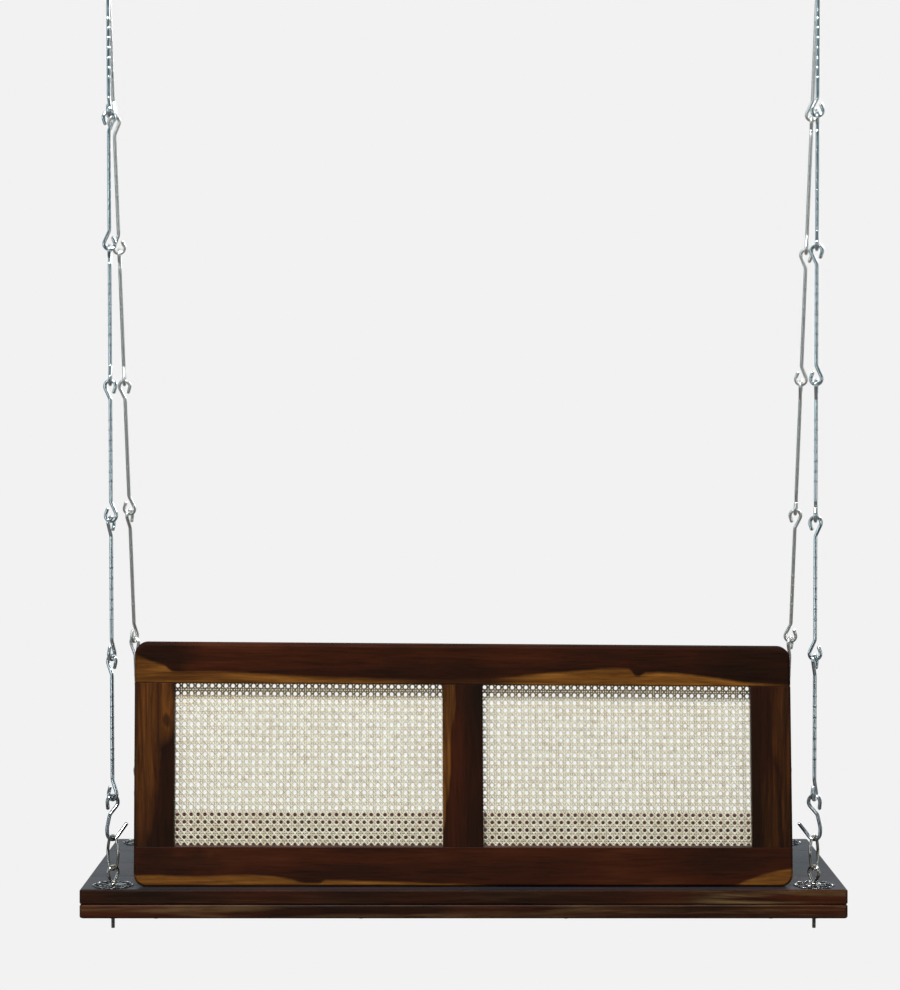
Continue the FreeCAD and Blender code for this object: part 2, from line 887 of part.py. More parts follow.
def build():
    """Every piece of the swing, by name."""
    parts = {}
    parts.update(ceiling_parts())
    for side in SIDES:
        for depth in DEPTHS:
            parts.update(chain_parts(side, depth))
    parts.update(seat_boards())
    parts.update(seat_frame())
    parts["seat_cushion"] = seat_cushion()
    parts.update(back_frame())
    for name, x in opening_places().items():
        parts[f"cane_panel_{name}"] = cane_panel(x)
    parts["cane_beads"] = cane_beads()
    parts["back_screws"] = back_screws()
    parts.update(seat_hardware())
    return parts


os.makedirs("parts", exist_ok=True)
for part_name, part_shape in build().items():
    part_shape.exportStep(f"parts/{part_name}.step")
    print(part_name, len(part_shape.Solids), part_shape.isValid(), round(part_shape.Volume, 1))
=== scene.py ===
import json
import random
from math import asin, atan2, cos, degrees, exp, hypot, pi, radians, sin, sqrt

import bpy
import bmesh
from mathutils import Matrix, Vector
from mathutils import noise as smooth_noise


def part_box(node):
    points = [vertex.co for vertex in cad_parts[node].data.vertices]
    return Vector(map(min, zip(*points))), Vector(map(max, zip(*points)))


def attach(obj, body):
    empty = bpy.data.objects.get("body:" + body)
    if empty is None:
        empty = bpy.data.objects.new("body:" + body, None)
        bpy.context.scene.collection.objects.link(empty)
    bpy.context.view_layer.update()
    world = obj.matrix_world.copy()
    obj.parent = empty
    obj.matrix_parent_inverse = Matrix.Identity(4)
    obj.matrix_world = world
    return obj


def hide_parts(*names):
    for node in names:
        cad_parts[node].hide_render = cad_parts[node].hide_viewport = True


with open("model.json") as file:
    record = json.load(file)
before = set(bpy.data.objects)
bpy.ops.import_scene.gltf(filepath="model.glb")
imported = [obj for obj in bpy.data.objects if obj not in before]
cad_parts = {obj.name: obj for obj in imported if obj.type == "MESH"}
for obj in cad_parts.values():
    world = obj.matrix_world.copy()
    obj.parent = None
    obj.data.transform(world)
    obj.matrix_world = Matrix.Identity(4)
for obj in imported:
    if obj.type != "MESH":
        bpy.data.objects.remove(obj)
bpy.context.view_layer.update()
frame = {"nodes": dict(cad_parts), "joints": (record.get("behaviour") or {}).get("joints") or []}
nodes = frame["nodes"]
joints = {j["name"]: j for j in frame["joints"]}
scene = bpy.context.scene
MM = 0.001


# Node helpers


def fill(tree, node, inputs):
    """Links sockets or sets values at a node's inputs, which are named or counted."""
    for key, value in inputs.items():
        if isinstance(value, bpy.types.NodeSocket):
            tree.links.new(value, node.inputs[key])
        else:
            node.inputs[key].default_value = value
    return node


def add(tree, kind, inputs):
    """A new node with its inputs filled."""
    return fill(tree, tree.nodes.new("ShaderNode" + kind), inputs)


def empty_tree(owner):
    """The cleared node tree of a material or the world."""
    owner.use_nodes = True
    owner.node_tree.nodes.clear()
    return owner.node_tree


def new_material(name):
    """A material with a plain surface shader on its output."""
    material = bpy.data.materials.new(name)
    tree = empty_tree(material)
    shader = add(tree, "BsdfPrincipled", {})
    add(tree, "OutputMaterial", {0: shader.outputs[0]})
    return material, tree, shader


def maths(tree, operation, first, second=0.0, third=0.0, clamp=False):
    """One step of arithmetic on sockets or numbers."""
    node = tree.nodes.new("ShaderNodeMath")
    node.operation = operation
    node.use_clamp = clamp
    return fill(tree, node, {0: first, 1: second, 2: third}).outputs[0]


def opaque(colour):
    """A colour with its fourth value; a socket as it is."""
    return (*colour, 1.0) if isinstance(colour, tuple) else colour


def mix_colour(tree, factor, first, second, blend="MIX"):
    """Two colours mixed by a factor."""
    node = tree.nodes.new("ShaderNodeMix")
    node.data_type = "RGBA"
    node.blend_type = blend
    return fill(tree, node, {0: factor, 6: opaque(first), 7: opaque(second)}).outputs[2]


def ramp(tree, factor, stops, interpolation="LINEAR"):
    """A colour ramp; stops are (position, colour or grey)."""
    node = add(tree, "ValToRGB", {0: factor})
    node.color_ramp.interpolation = interpolation
    elements = node.color_ramp.elements
    while len(elements) < len(stops):
        elements.new(0.5)
    for element, (position, colour) in zip(elements, stops):
        element.position = position
        element.color = opaque(colour if isinstance(colour, tuple) else (colour,) * 3)
    return node.outputs[0]


def object_space(tree, scale=(1, 1, 1), shift=(0, 0, 0)):
    """Object coordinates, scaled and shifted."""
    place = add(tree, "TexCoord", {}).outputs["Object"]
    return add(tree, "Mapping", {0: place, "Scale": scale, "Location": shift}).outputs[0]


def noise(tree, vector, scale, detail=4.0, roughness=0.5, distortion=0.0):
    """A noise value."""
    inputs = {"Vector": vector, "Scale": scale, "Detail": detail, "Roughness": roughness}
    return add(tree, "TexNoise", {**inputs, "Distortion": distortion}).outputs["Fac"]


def bump(tree, shader, height, strength, distance):
    """Adds a height to the shader's normal."""
    node = add(tree, "Bump", {"Strength": strength, "Distance": distance, "Height": height})
    fill(tree, shader, {"Normal": node.outputs[0]})


# Wood


WOOD_BLACK = (0.0130, 0.0054, 0.0030)
WOOD_DARK = (0.0250, 0.0075, 0.0034)
WOOD_RED = (0.0470, 0.0110, 0.0040)
WOOD_BROWN = (0.0820, 0.0240, 0.0075)
HONEY = ((0.0900, 0.0300, 0.0060), (0.2550, 0.0980, 0.0170))
RED_HONEY = ((0.0640, 0.0190, 0.0044), (0.1700, 0.0560, 0.0105))
OLIVE_HONEY = ((0.0480, 0.0260, 0.0105), (0.1620, 0.0980, 0.0410))
# Blue tint of the seat top's sheen: a painted reflection of the blue-grey room
PAINTED_REFLECTION_TINT = (0.35, 0.70, 1.0, 1.0)


def wood_material(
    name, along, seed, tone=0.0, honey=None, shade=None, streaky=0.25, pale=HONEY,
    gloss=0.42, sheen=0.10, relief=0.16, shade_under=False, painted_reflection_sheen=0.0
):
    """Dark rosewood, its grain along an axis; honey and shade build masks of pale and black wood."""
    material, tree, shader = new_material(name)
    stretch = {"x": (0.55, 9.0, 9.0), "z": (9.0, 9.0, 0.55)}[along]
    shift = (seed * 1.73, seed * 2.11, seed * 0.97)
    grain_place = object_space(tree, stretch, shift)
    fine_place = object_space(tree, tuple(s * 7 for s in stretch), shift)
    plain_place = object_space(tree, (1, 1, 1), shift)
    broad = noise(tree, grain_place, 1.3, 5.0, 0.55, 0.6)
    bands = noise(tree, grain_place, 5.5, 7.0, 0.66, 1.4)
    fine = noise(tree, fine_place, 4.0, 5.0, 0.7, 0.3)
    cloud = noise(tree, plain_place, 4.2, 2.0, 0.5)
    mixed = maths(tree, "MULTIPLY", broad, 0.42)
    mixed = maths(tree, "MULTIPLY_ADD", bands, 0.26, mixed)
    mixed = maths(tree, "MULTIPLY_ADD", cloud, 0.36, mixed)
    mixed = maths(tree, "MULTIPLY_ADD", maths(tree, "SUBTRACT", mixed, 0.52), 1.5, 0.50 + tone)
    tones = [(0.34, WOOD_BLACK), (0.48, WOOD_DARK), (0.62, WOOD_RED), (0.80, WOOD_BROWN)]
    colour = ramp(tree, mixed, tones)
    streak = ramp(tree, fine, [(0.32, 0.45), (0.50, 1.0), (0.70, 1.25)])
    if shade_under:
        colour = mix_colour(tree, shade(tree), colour, WOOD_BLACK)
    if honey is not None:
        shown = ramp(tree, bands, [(0.38, 1.0 - streaky), (0.58, 1.0)])
        mask = maths(tree, "MULTIPLY", honey(tree), shown)
        honey_grain = ramp(tree, bands, [(0.32, pale[0]), (0.66, pale[1])])
        colour = mix_colour(tree, mask, colour, honey_grain)
    if shade is not None and not shade_under:
        colour = mix_colour(tree, shade(tree), colour, WOOD_BLACK)
    colour = mix_colour(tree, 0.7, colour, streak, "MULTIPLY")
    rough = ramp(tree, fine, [(0.2, gloss + 0.08), (0.8, gloss - 0.03)])
    inputs = {"Base Color": colour, "Roughness": rough, "Specular IOR Level": sheen}
    fill(tree, shader, {**inputs, "Sheen Weight": painted_reflection_sheen, "Sheen Tint": PAINTED_REFLECTION_TINT})
    pores = ramp(tree, fine, [(0.30, 0.0), (0.46, 1.0)])
    bump(tree, shader, pores, relief, 0.0004)
    return material


def coordinate(tree, axis):
    """One of the object coordinates."""
    split = add(tree, "SeparateXYZ", {0: add(tree, "TexCoord", {}).outputs["Object"]})
    return split.outputs["xyz".index(axis)]


def wobble(tree, axis_scale, scale, amount):
    """A small smooth unevenness round zero."""
    value = noise(tree, object_space(tree, axis_scale), scale, 3.0, 0.5)
    return maths(tree, "MULTIPLY", maths(tree, "SUBTRACT", value, 0.5), amount)


def profile(tree, position, points, low, high):
    """A height that follows points (position, height) along one coordinate."""
    span = high - low
    share = maths(tree, "DIVIDE", maths(tree, "SUBTRACT", position, low), span)
    curve = add(tree, "FloatCurve", {"Value": share})
    handles = curve.mapping.curves[0].points
    while len(handles) < len(points):
        handles.new(0.5, 0.5)
    base = min(height for _, height in points)
    reach = max(height for _, height in points) - base
    for handle, (at, height) in zip(handles, points):
        handle.location = ((at - low) / span, (height - base) / reach)
        handle.handle_type = "AUTO"
    curve.mapping.update()
    return maths(tree, "MULTIPLY_ADD", curve.outputs[0], reach, base)


def below(tree, value, limit, softness):
    """1 where the value is below the limit, fading over the softness."""
    gap = maths(tree, "SUBTRACT", limit, value)
    return maths(tree, "ADD", maths(tree, "DIVIDE", gap, softness), 0.5, clamp=True)


# Places

seat_low, seat_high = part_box("seat_board_1")
seat_top = seat_high.z
back_low, back_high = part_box("back_top_rail")
bottom_rail_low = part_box("back_bottom_rail")[0]
PIXEL = 1.592 * MM
PANEL_LEFT_PIXEL = 134.5
PANEL_TOP_PIXEL = 643.0


def panel_x(pixel):
    """X on the backrest's rear face for a picture column."""
    return back_low.x + (pixel - PANEL_LEFT_PIXEL) * PIXEL


def panel_z(pixel):
    """Z on the backrest's rear face for a picture row."""
    return back_high.z - (pixel - PANEL_TOP_PIXEL) * PIXEL


# Sapwood: places and sizes in picture pixels

TOP_STRIP_START = 115
BOTTOM_STRIP_START = 125
STRIP_END = 800
TOP_STRIP_FADES = 375
TOP_STRIP_RETURNS = 520
BOARD_STREAKS_START = 700
FRAME_STREAKS_START = 690

# Column and height of a pale strip's edge, above the rail's lower edge
TOP_STRIP_EDGE = (
    (120, 33), (136, 29), (150, 23), (165, 18), (176, 12), (200, 12), (240, 11.5), (290, 8.5),
    (330, 6.5), (365, 5.5), (400, 5.0), (440, 4.5), (470, 4.5), (500, 6), (540, 10), (580, 13),
    (615, 15.5), (630, 14.5), (638, 7.5), (646, 11.5), (680, 10), (720, 5), (750, 1), (795, -2),
)
BOTTOM_STRIP_EDGE = (
    (130, 12), (150, 12), (200, 11), (245, 12), (290, 8), (318, 3.5), (325, 7), (380, 5.5),
    (440, 3.5), (480, 2), (560, -3), (690, -3), (730, 1), (745, 6), (765, 13), (788, 18), (795, 19),
)

# Column, row, half width and half height of soft spots, their strength, and for some how far the
# edge strays in metres and how crisp it is
TOP_DARK_SPOTS = ((160, 652, 42, 24, 0.80),)
BOTTOM_DARK_SPOTS = ((175, 862, 60, 16, 0.55),)
LEFT_PALE_SPOTS = ((145, 735, 18, 100, 0.90), (160, 705, 19, 44, 0.90), (143, 805, 10, 50, 0.42))
LEFT_DARK_SPOTS = (
    (174, 805, 13, 60, 0.40, 0.008),
    (164, 846, 18, 36, 0.55, 0.008),
    (166, 720, 4.5, 9, 0.72, 0.003),
)
MULLION_PALE_SPOTS = (
    (449, 695, 7.0, 32, 0.80, 0.002, 2.0),
    (446, 738, 5.0, 64, 0.80, 0.002, 2.0),
    (443, 790, 3.2, 42, 0.80, 0.002, 2.0),
)
RIGHT_PALE_SPOTS = (
    (783, 722, 14, 60, 0.30),
    (788, 780, 7, 90, 0.50, 0.004),
    (770, 815, 13, 56, 0.36, 0.012, 1.0),
)
RIGHT_DARK_SPOTS = ((754, 760, 9, 90, 0.40), (757, 840, 12, 40, 0.45))


def pale_strip(tree, edge_points, start_column, rail_low, softness):
    """The pale strip above a rail's lower edge, as high as the edge points say."""
    placed = [(panel_x(column), height * PIXEL) for column, height in edge_points]
    x = coordinate(tree, "x")
    edge = profile(tree, x, placed, panel_x(start_column), panel_x(STRIP_END))
    height = maths(tree, "SUBTRACT", coordinate(tree, "z"), rail_low)
    height = maths(tree, "ADD", height, wobble(tree, (6, 1, 30), 6.0, 0.003))
    return below(tree, height, edge, softness)


def top_rail_honey(tree):
    """The top rail's pale strip, fainter in the middle of the rail."""
    mask = pale_strip(tree, TOP_STRIP_EDGE, TOP_STRIP_START, back_low.z, 0.0045)
    x = coordinate(tree, "x")
    fade_in = below(tree, x, panel_x(TOP_STRIP_FADES), 0.16)
    fade_out = below(tree, panel_x(TOP_STRIP_RETURNS), x, 0.10)
    strength = maths(tree, "MULTIPLY_ADD", fade_in, 0.78, 0.12)
    strength = maths(tree, "MULTIPLY_ADD", fade_out, 0.96, strength, clamp=True)
    return maths(tree, "MULTIPLY", mask, strength)


def bottom_rail_honey(tree):
    """The bottom rail's pale strip."""
    return pale_strip(tree, BOTTOM_STRIP_EDGE, BOTTOM_STRIP_START, bottom_rail_low.z, 0.0040)


def spot(tree, column, row, half_width, half_height, strength, stray=0.010, crisp=1.3):
    """A mask over one soft oval of the backrest, its edge following the grain."""
    x = maths(tree, "ADD", coordinate(tree, "x"), wobble(tree, (1, 1, 2), 9.0, stray * 2))
    z = maths(tree, "ADD", coordinate(tree, "z"), wobble(tree, (9, 9, 1), 4.0, 0.06))
    total = 1.0
    for value, middle, reach in (
        (x, panel_x(column), half_width * PIXEL),
        (z, panel_z(row), half_height * PIXEL),
    ):
        share = maths(tree, "DIVIDE", maths(tree, "SUBTRACT", value, middle), reach)
        total = maths(tree, "SUBTRACT", total, maths(tree, "MULTIPLY", share, share))
    soft = maths(tree, "MULTIPLY", total, crisp, clamp=True)
    return maths(tree, "MULTIPLY", soft, strength)


def spots(places):
    """Builds the mask over several spots, the strongest one showing where they overlap."""

    def build_mask(tree):
        result = 0.0
        for place in places:
            result = maths(tree, "MAXIMUM", result, spot(tree, *place))
        return result

    return build_mask


def end_streaks(seed, first_column, near_end, elsewhere):
    """Pale streaks along a seat board, stronger past a picture column."""

    def build_mask(tree):
        value = noise(tree, object_space(tree, (0.9, 6, 22), (seed, 0, 0)), 3.2, 4.0, 0.6, 0.5)
        streaks = ramp(tree, value, [(0.42, 0.0), (0.60, 1.0)])
        x = maths(tree, "ADD", coordinate(tree, "x"), wobble(tree, (1, 1, 30), 4.0, 0.10))
        past = below(tree, panel_x(first_column), x, 0.05)
        strength = maths(tree, "MULTIPLY_ADD", past, near_end - elsewhere, elsewhere)
        return maths(tree, "MULTIPLY", streaks, strength)

    return build_mask


# The seat top's blue sheen is a painted reflection
wood_seat_top = wood_material(
    "seat_top_wood", "x", 1.0, -0.06, gloss=0.20, sheen=0.025, relief=0.02, painted_reflection_sheen=0.12
)
board_streaks = end_streaks(2.4, BOARD_STREAKS_START, 0.85, 0.10)
wood_board_edge = wood_material(
    "seat_board_edge_wood", "x", 2.0, 0.01, board_streaks, streaky=0.6, pale=OLIVE_HONEY
)
frame_streaks = end_streaks(4.4, FRAME_STREAKS_START, 1.0, 0.55)
wood_frame = wood_material(
    "seat_frame_wood", "x", 3.0, 0.10, frame_streaks, streaky=0.7, pale=OLIVE_HONEY
)
top_masks = (top_rail_honey, spots(TOP_DARK_SPOTS))
wood_top_rail = wood_material(
    "top_rail_wood", "x", 7.0, -0.02, *top_masks, gloss=0.62, sheen=0.04, shade_under=True
)
# Up and down faces of the top rail: the rail's wood darkened and without sapwood, painted shade that
# keeps the lit top from showing as a pale line
wood_top_painted_shade = wood_material("top_edge_painted_shade_wood", "x", 7.0, -0.16, gloss=0.75, sheen=0.03)
bottom_masks = (bottom_rail_honey, spots(BOTTOM_DARK_SPOTS))
wood_bottom_rail = wood_material(
    "bottom_rail_wood", "x", 9.0, 0.07, *bottom_masks, shade_under=True
)
left_masks = (spots(LEFT_PALE_SPOTS), spots(LEFT_DARK_SPOTS))
wood_left = wood_material("left_stile_wood", "z", 11.0, 0.03, *left_masks, 0.60, RED_HONEY)
mullion_mask = spots(MULLION_PALE_SPOTS)
wood_mullion = wood_material("mullion_wood", "z", 13.0, -0.08, mullion_mask, streaky=0.6)
right_masks = (spots(RIGHT_PALE_SPOTS), spots(RIGHT_DARK_SPOTS))
wood_right = wood_material("right_stile_wood", "z", 15.0, -0.02, *right_masks, 0.70, RED_HONEY)
wood_bead = wood_material("bead_wood", "x", 17.0)


# Metal


def steel_material(name, colour, rough, dirt=0.35, pitted=0.0):
    """Bright steel with a little tarnish and uneven polish; pitted steel has dark worn specks."""
    material, tree, shader = new_material(name)
    place = object_space(tree)
    cloud = noise(tree, place, 38.0, 3.0, 0.55)
    grime = noise(tree, place, 260.0, 2.0, 0.5)
    dull = tuple(c * 0.6 for c in colour)
    factor = ramp(tree, cloud, [(0.46, 0.0), (0.74, dirt)])
    base = mix_colour(tree, factor, colour, dull)
    worst = (0.28 + 0.12 * pitted, 0.82 - 0.70 * pitted)
    speck = ramp(tree, grime, [worst, (0.44 + 0.08 * pitted, 1.0)])
    base = mix_colour(tree, 0.25 + 0.65 * pitted, base, speck, "MULTIPLY")
    polish = ramp(tree, cloud, [(0.3, rough), (0.75, rough + 0.10)])
    fill(tree, shader, {"Base Color": base, "Roughness": polish, "Metallic": 1.0})
    return material


# Millimetres above the seat up to which the flowers are painted near-black as shade, and over which
# they turn bright
PAINTED_SHADE_UP_TO = 0.95
BRIGHTENS_OVER = 0.35


def flower_steel_material():
    """Bright pierced plate with random dark patches; its low parts are painted near-black as shade."""
    material, tree, shader = new_material("flower_steel")
    height = maths(tree, "SUBTRACT", coordinate(tree, "z"), seat_top + PAINTED_SHADE_UP_TO * MM)
    above_painted_shade = maths(tree, "DIVIDE", height, BRIGHTENS_OVER * MM, clamp=True)
    cloud = noise(tree, object_space(tree), 190.0, 2.0, 0.5)
    clear_of_shade_and_patches = maths(tree, "MULTIPLY", above_painted_shade, ramp(tree, cloud, [(0.47, 0.05), (0.55, 1.0)]))
    # Low parts painted near-black as shade, raised parts bright, with random dark patches
    base = mix_colour(tree, clear_of_shade_and_patches, (0.030, 0.031, 0.032), (0.86, 0.90, 0.90))
    polish = ramp(tree, cloud, [(0.3, 0.22), (0.6, 0.08)])
    fill(tree, shader, {"Base Color": base, "Roughness": polish, "Metallic": 1.0})
    return material


# One chain steel in copies toned for the light: the far chains' copy is paler, warmer and rougher, a
# painted reflection that greys them; the near hooks' copy is darker, painted dark reflections beside
# their highlights
steel_near = steel_material("near_chain_steel", (0.68, 0.72, 0.73), 0.07, 0.20)
steel_far_painted_grey = steel_material("far_chain_steel_painted_grey", (0.86, 0.85, 0.81), 0.30, 0.20)
steel_hook_painted_dark = steel_material("hook_steel_painted_tone", (0.34, 0.36, 0.37), 0.13, 0.30, 0.25)
steel_ring = steel_material("ring_steel", (0.58, 0.545, 0.48), 0.05, 0.45, 0.25)
steel_flower = flower_steel_material()
steel_bolt = steel_material("bolt_steel", (0.24, 0.22, 0.19), 0.34)
steel_plate = steel_material("plate_steel", (0.26, 0.27, 0.28), 0.60, 0.3)


# Cane and cloth


# Picture row down to which the cane carries a painted shadow of the top rail, and that shadow's brown
# tint
CANE_PAINTED_SHADOW_ROW = 697
CANE_PAINTED_SHADOW_TINT = (1.0, 0.80, 0.52)


def cane_material(name, brightness):
    """Pale woven cane with warmer strands and a painted brown shadow of the top rail on its highest
    rows.
    """
    material, tree, shader = new_material(name)
    place = object_space(tree)
    broad = noise(tree, place, 9.0, 3.0, 0.5)
    strand = noise(tree, object_space(tree, (1, 1, 1), (3, 1, 2)), 120.0, 2.0, 0.5)
    tones = ((0.24, (0.66, 0.54, 0.36)), (0.40, (0.80, 0.71, 0.53)), (0.62, (0.93, 0.87, 0.69)))
    colour = ramp(tree, strand, [(at, tuple(c * brightness for c in tone)) for at, tone in tones])
    tint = ramp(tree, broad, [(0.35, (0.96, 0.94, 0.90)), (0.65, (1.0, 1.0, 1.0))])
    colour = mix_colour(tree, 0.8, colour, tint, "MULTIPLY")
    # Painted shadow of the top rail over the highest rows of cane
    z = maths(tree, "ADD", coordinate(tree, "z"), wobble(tree, (1, 1, 1), 20.0, 0.004))
    rail_shadow_painted = below(tree, panel_z(CANE_PAINTED_SHADOW_ROW), z, 0.012)
    colour = mix_colour(tree, rail_shadow_painted, colour, CANE_PAINTED_SHADOW_TINT, "MULTIPLY")
    fill(tree, shader, {"Base Color": colour, "Roughness": 0.42, "Specular IOR Level": 0.45})
    bump(tree, shader, strand, 0.25, 0.0002)
    return material


def cloth_material():
    """Maroon cushion cloth with a visible weave."""
    material, tree, shader = new_material("cushion_cloth")
    place = object_space(tree)
    threads = []
    for axis in ("X", "Y"):
        inputs = {"Vector": place, "Scale": 260.0, "Distortion": 0.6, "Detail": 1.0}
        wave = add(tree, "TexWave", inputs)
        wave.bands_direction = axis
        threads.append(wave.outputs["Fac"])
    weave = maths(tree, "MULTIPLY", threads[0], threads[1])
    broad = noise(tree, place, 12.0, 4.0, 0.6)
    colour = ramp(tree, broad, [(0.3, (0.050, 0.0125, 0.0110)), (0.7, (0.085, 0.021, 0.0175))])
    colour = mix_colour(tree, 0.5, colour, ramp(tree, weave, [(0.0, 0.55), (0.6, 1.1)]), "MULTIPLY")
    fill(tree, shader, {"Base Color": colour, "Roughness": 0.85, "Specular IOR Level": 0.15})
    bump(tree, shader, weave, 0.35, 0.0004)
    return material


# Two copies of one cane: the upright strands, lying under the diagonals, take the darker copy as
# painted shade
cane_over = cane_material("cane_over", 0.97)
cane_under_painted_shade = cane_material("cane_under_painted_shade", 0.74)
cloth = cloth_material()


# Mesh helpers


def mesh_object(name, vertices, faces, material):
    """A smooth-shaded mesh object at the origin."""
    mesh = bpy.data.meshes.new(name)
    mesh.from_pydata([tuple(v) for v in vertices], [], faces)
    mesh.update()
    mesh.polygons.foreach_set("use_smooth", [True] * len(mesh.polygons))
    mesh.materials.append(material)
    thing = bpy.data.objects.new(name, mesh)
    scene.collection.objects.link(thing)
    return thing


def skin(rows, sides, closed=False, capped=True):
    """Faces between rows of points that go round a bar, and over both of its ends."""
    faces = []
    for i in range(rows if closed else rows - 1):
        a = i * sides
        b = (i + 1) % rows * sides
        for k in range(sides):
            n = (k + 1) % sides
            faces.append((a + k, a + n, b + n, b + k))
    if capped:
        faces.append(tuple(range(sides))[::-1])
        faces.append(tuple((rows - 1) * sides + k for k in range(sides)))
    return faces


def tube(path, radii, sides, closed=False):
    """Vertices and faces of a round bar along a path, its radii in millimetres."""
    count = len(path)
    tangents = []
    for i in range(count):
        before = path[i - 1] if (closed or i > 0) else path[i]
        after = path[(i + 1) % count] if (closed or i < count - 1) else path[i]
        tangents.append((after - before).normalized())
    side = tangents[0].orthogonal()
    side = (side - tangents[0] * side.dot(tangents[0])).normalized()
    vertices = []
    for i in range(count):
        if i:
            turn = tangents[i - 1].rotation_difference(tangents[i])
            side = turn @ side
            side = (side - tangents[i] * side.dot(tangents[i])).normalized()
        other = tangents[i].cross(side)
        for k in range(sides):
            angle = 2 * pi * k / sides
            out = side * cos(angle) + other * sin(angle)
            vertices.append(path[i] + out * (radii[i] * MM))
    return vertices, skin(count, sides, closed, not closed)


END_ROUND_SHARE = 0.9
END_FLAT_SHARE = 0.25


def rounded_ends(radii, path):
    """Radii that round off both ends of an open bar."""
    lengths = [0.0]
    for here, there in zip(path, path[1:]):
        lengths.append(lengths[-1] + (there - here).length)
    total = lengths[-1]
    end = radii[0] * END_ROUND_SHARE
    result = []
    for r, at in zip(radii, lengths):
        near = min(1.0, min(at, total - at) / end)
        round_share = sqrt(max(0.0, 1 - (1 - near) ** 2))
        result.append(r * (round_share * (1 - END_FLAT_SHARE) + END_FLAT_SHARE))
    return result


PATH_STEP = 1.2
SHANK_STEP = 1.05


def straight(start, end, step=PATH_STEP):
    """Points of a straight run in even steps, both ends included."""
    parts = max(1, round((end - start).length / step))
    return [start.lerp(end, i / parts) for i in range(parts + 1)]


def arc(centre, radius, start, end, parts):
    """Points of an arc in the X-Z plane, angles in degrees from +X towards +Z."""
    points = []
    for i in range(parts + 1):
        angle = radians(start + (end - start) * i / parts)
        x = centre[0] + radius * cos(angle)
        z = centre[1] + radius * sin(angle)
        points.append(Vector((x, 0, z)))
    return points


def eased(path, rounds):
    """The same open path with its corners eased."""
    for _ in range(rounds):
        inner = [(a + b * 2 + c) / 4 for a, b, c in zip(path, path[1:], path[2:])]
        path = [path[0]] + inner + [path[-1]]
    return path


# Chains, sizes in millimetres as in the solids

EYE_REACH = 28.0
RING_REACH = 48.0
HOOK_REACH = 63.0
ROD_COUNT = 6
ROD_RADIUS = 3.0
SHANK_SWELL = 0.2
SHANK_END = 84.0
ROD_BEND = 9.1
ROD_NECK = 22.0
ROD_TIP = 10.0
ROD_OPENING_SHARE = 0.9
SHANK_TAPER = 4.0
BEND_PARTS = 40
HOOK_TOP_PARTS = 44
HOOK_LOW_PARTS = 36
RING_END_PARTS = 24
RING_SIDE_PARTS = 18
LINK_PLAY = 0.5
TOP_PLAY = 0.9
RING_RADIUS = 2.4
RING_HALF_WIDTH = 11.5
RING_END = 8.5
HOOK_RADIUS = 3.0
HOOK_TOP_BEND = 10.0
HOOK_LOW_BEND = 10.5
HOOK_LEAN = 39.0
HOOK_DIP = 8.0
HOOK_TIP = 11.0
HOOK_KNEE_OUT = 5.7
HOOK_KNEE_DOWN = 20.0
HOOK_BELLY_OUT = 0.4
HOOK_BELLY_UP = 15.0
HOOK_LOW_TURN = 140.0
HOOK_TAIL = 29.0
EYE_RADIUS = 2.4
EYE_BEND = 10.0
EYE_BASE = 3.0
EYE_FOOT_HALF = 1.5
WIRE_SIDES = 14
HOOK_SIDES = 16
EASE_ROUNDS = 3
HOOK_EASE_ROUNDS = 5

# Degrees that the links of each side are turned about their chain
TURNS = {
    "left": {"eye": 45.0, "ring": -38.0, "hook": 220.0, "twist": 70.0},
    "right": {"eye": -45.0, "ring": 50.0, "hook": -32.0, "twist": 0.0},
}
ROD_TURNS = {
    "left": (-38.0, 66.0, -8.0, -86.0, 200.0, -70.0),
    "right": (62.0, 166.0, 78.0, -18.0, -100.0, 180.0),
}


def stood(points, low, along, facing_degrees):
    """Local millimetre points stood on a chain line, local X turned to the facing."""
    angle = radians(facing_degrees)
    facing = Vector((cos(angle), sin(angle), 0))
    across = (facing - along * facing.dot(along)).normalized()
    third = along.cross(across)
    return [low + (across * p.x + third * p.y + along * p.z) * MM for p in points]


def rod_half(reach, play):
    """The upper half of a rod with its open hook, from the rod's middle outwards."""
    bend_z = reach / 2 + play / 2 - ROD_BEND + ROD_RADIUS
    lean = degrees(asin(ROD_BEND / ROD_NECK))
    neck = Vector((0, 0, bend_z - ROD_NECK))
    bend = arc((0, bend_z), ROD_BEND, 180 + lean, -lean * ROD_OPENING_SHARE, BEND_PARTS)
    tip_way = (bend[-1] - bend[-2]).normalized()
    tip = bend[-1] + tip_way * ROD_TIP
    shank = straight(Vector((0, 0, 0)), neck, SHANK_STEP)
    return shank + straight(neck, bend[0])[1:] + bend[1:] + straight(bend[-1], tip)[1:]


RIDGE_FROM = 57.0
RIDGE_TO = 76.0
RIDGE_PITCH = 3.2
RIDGE_HEIGHT = 0.14
BAND_PLACES = (0.0, 17.0, 34.0, 50.0)
BAND_HEIGHT = 0.38
BAND_HALF_LENGTH = 1.1


def rod_radius_at(distance):
    """The rod's radius at a distance from its middle: fine ridges near each hook, bands between."""
    size = ROD_RADIUS + SHANK_SWELL * min(1.0, max(0.0, (SHANK_END - distance) / SHANK_TAPER))
    if RIDGE_FROM < distance < RIDGE_TO:
        swell = sin(pi * (distance - RIDGE_FROM) / (RIDGE_TO - RIDGE_FROM)) ** 0.5
        wave = cos(2 * pi * (distance - RIDGE_FROM) / RIDGE_PITCH)
        size += RIDGE_HEIGHT * wave * swell
    for place in BAND_PLACES:
        size += BAND_HEIGHT * exp(-(((distance - place) / BAND_HALF_LENGTH) ** 2))
    return size


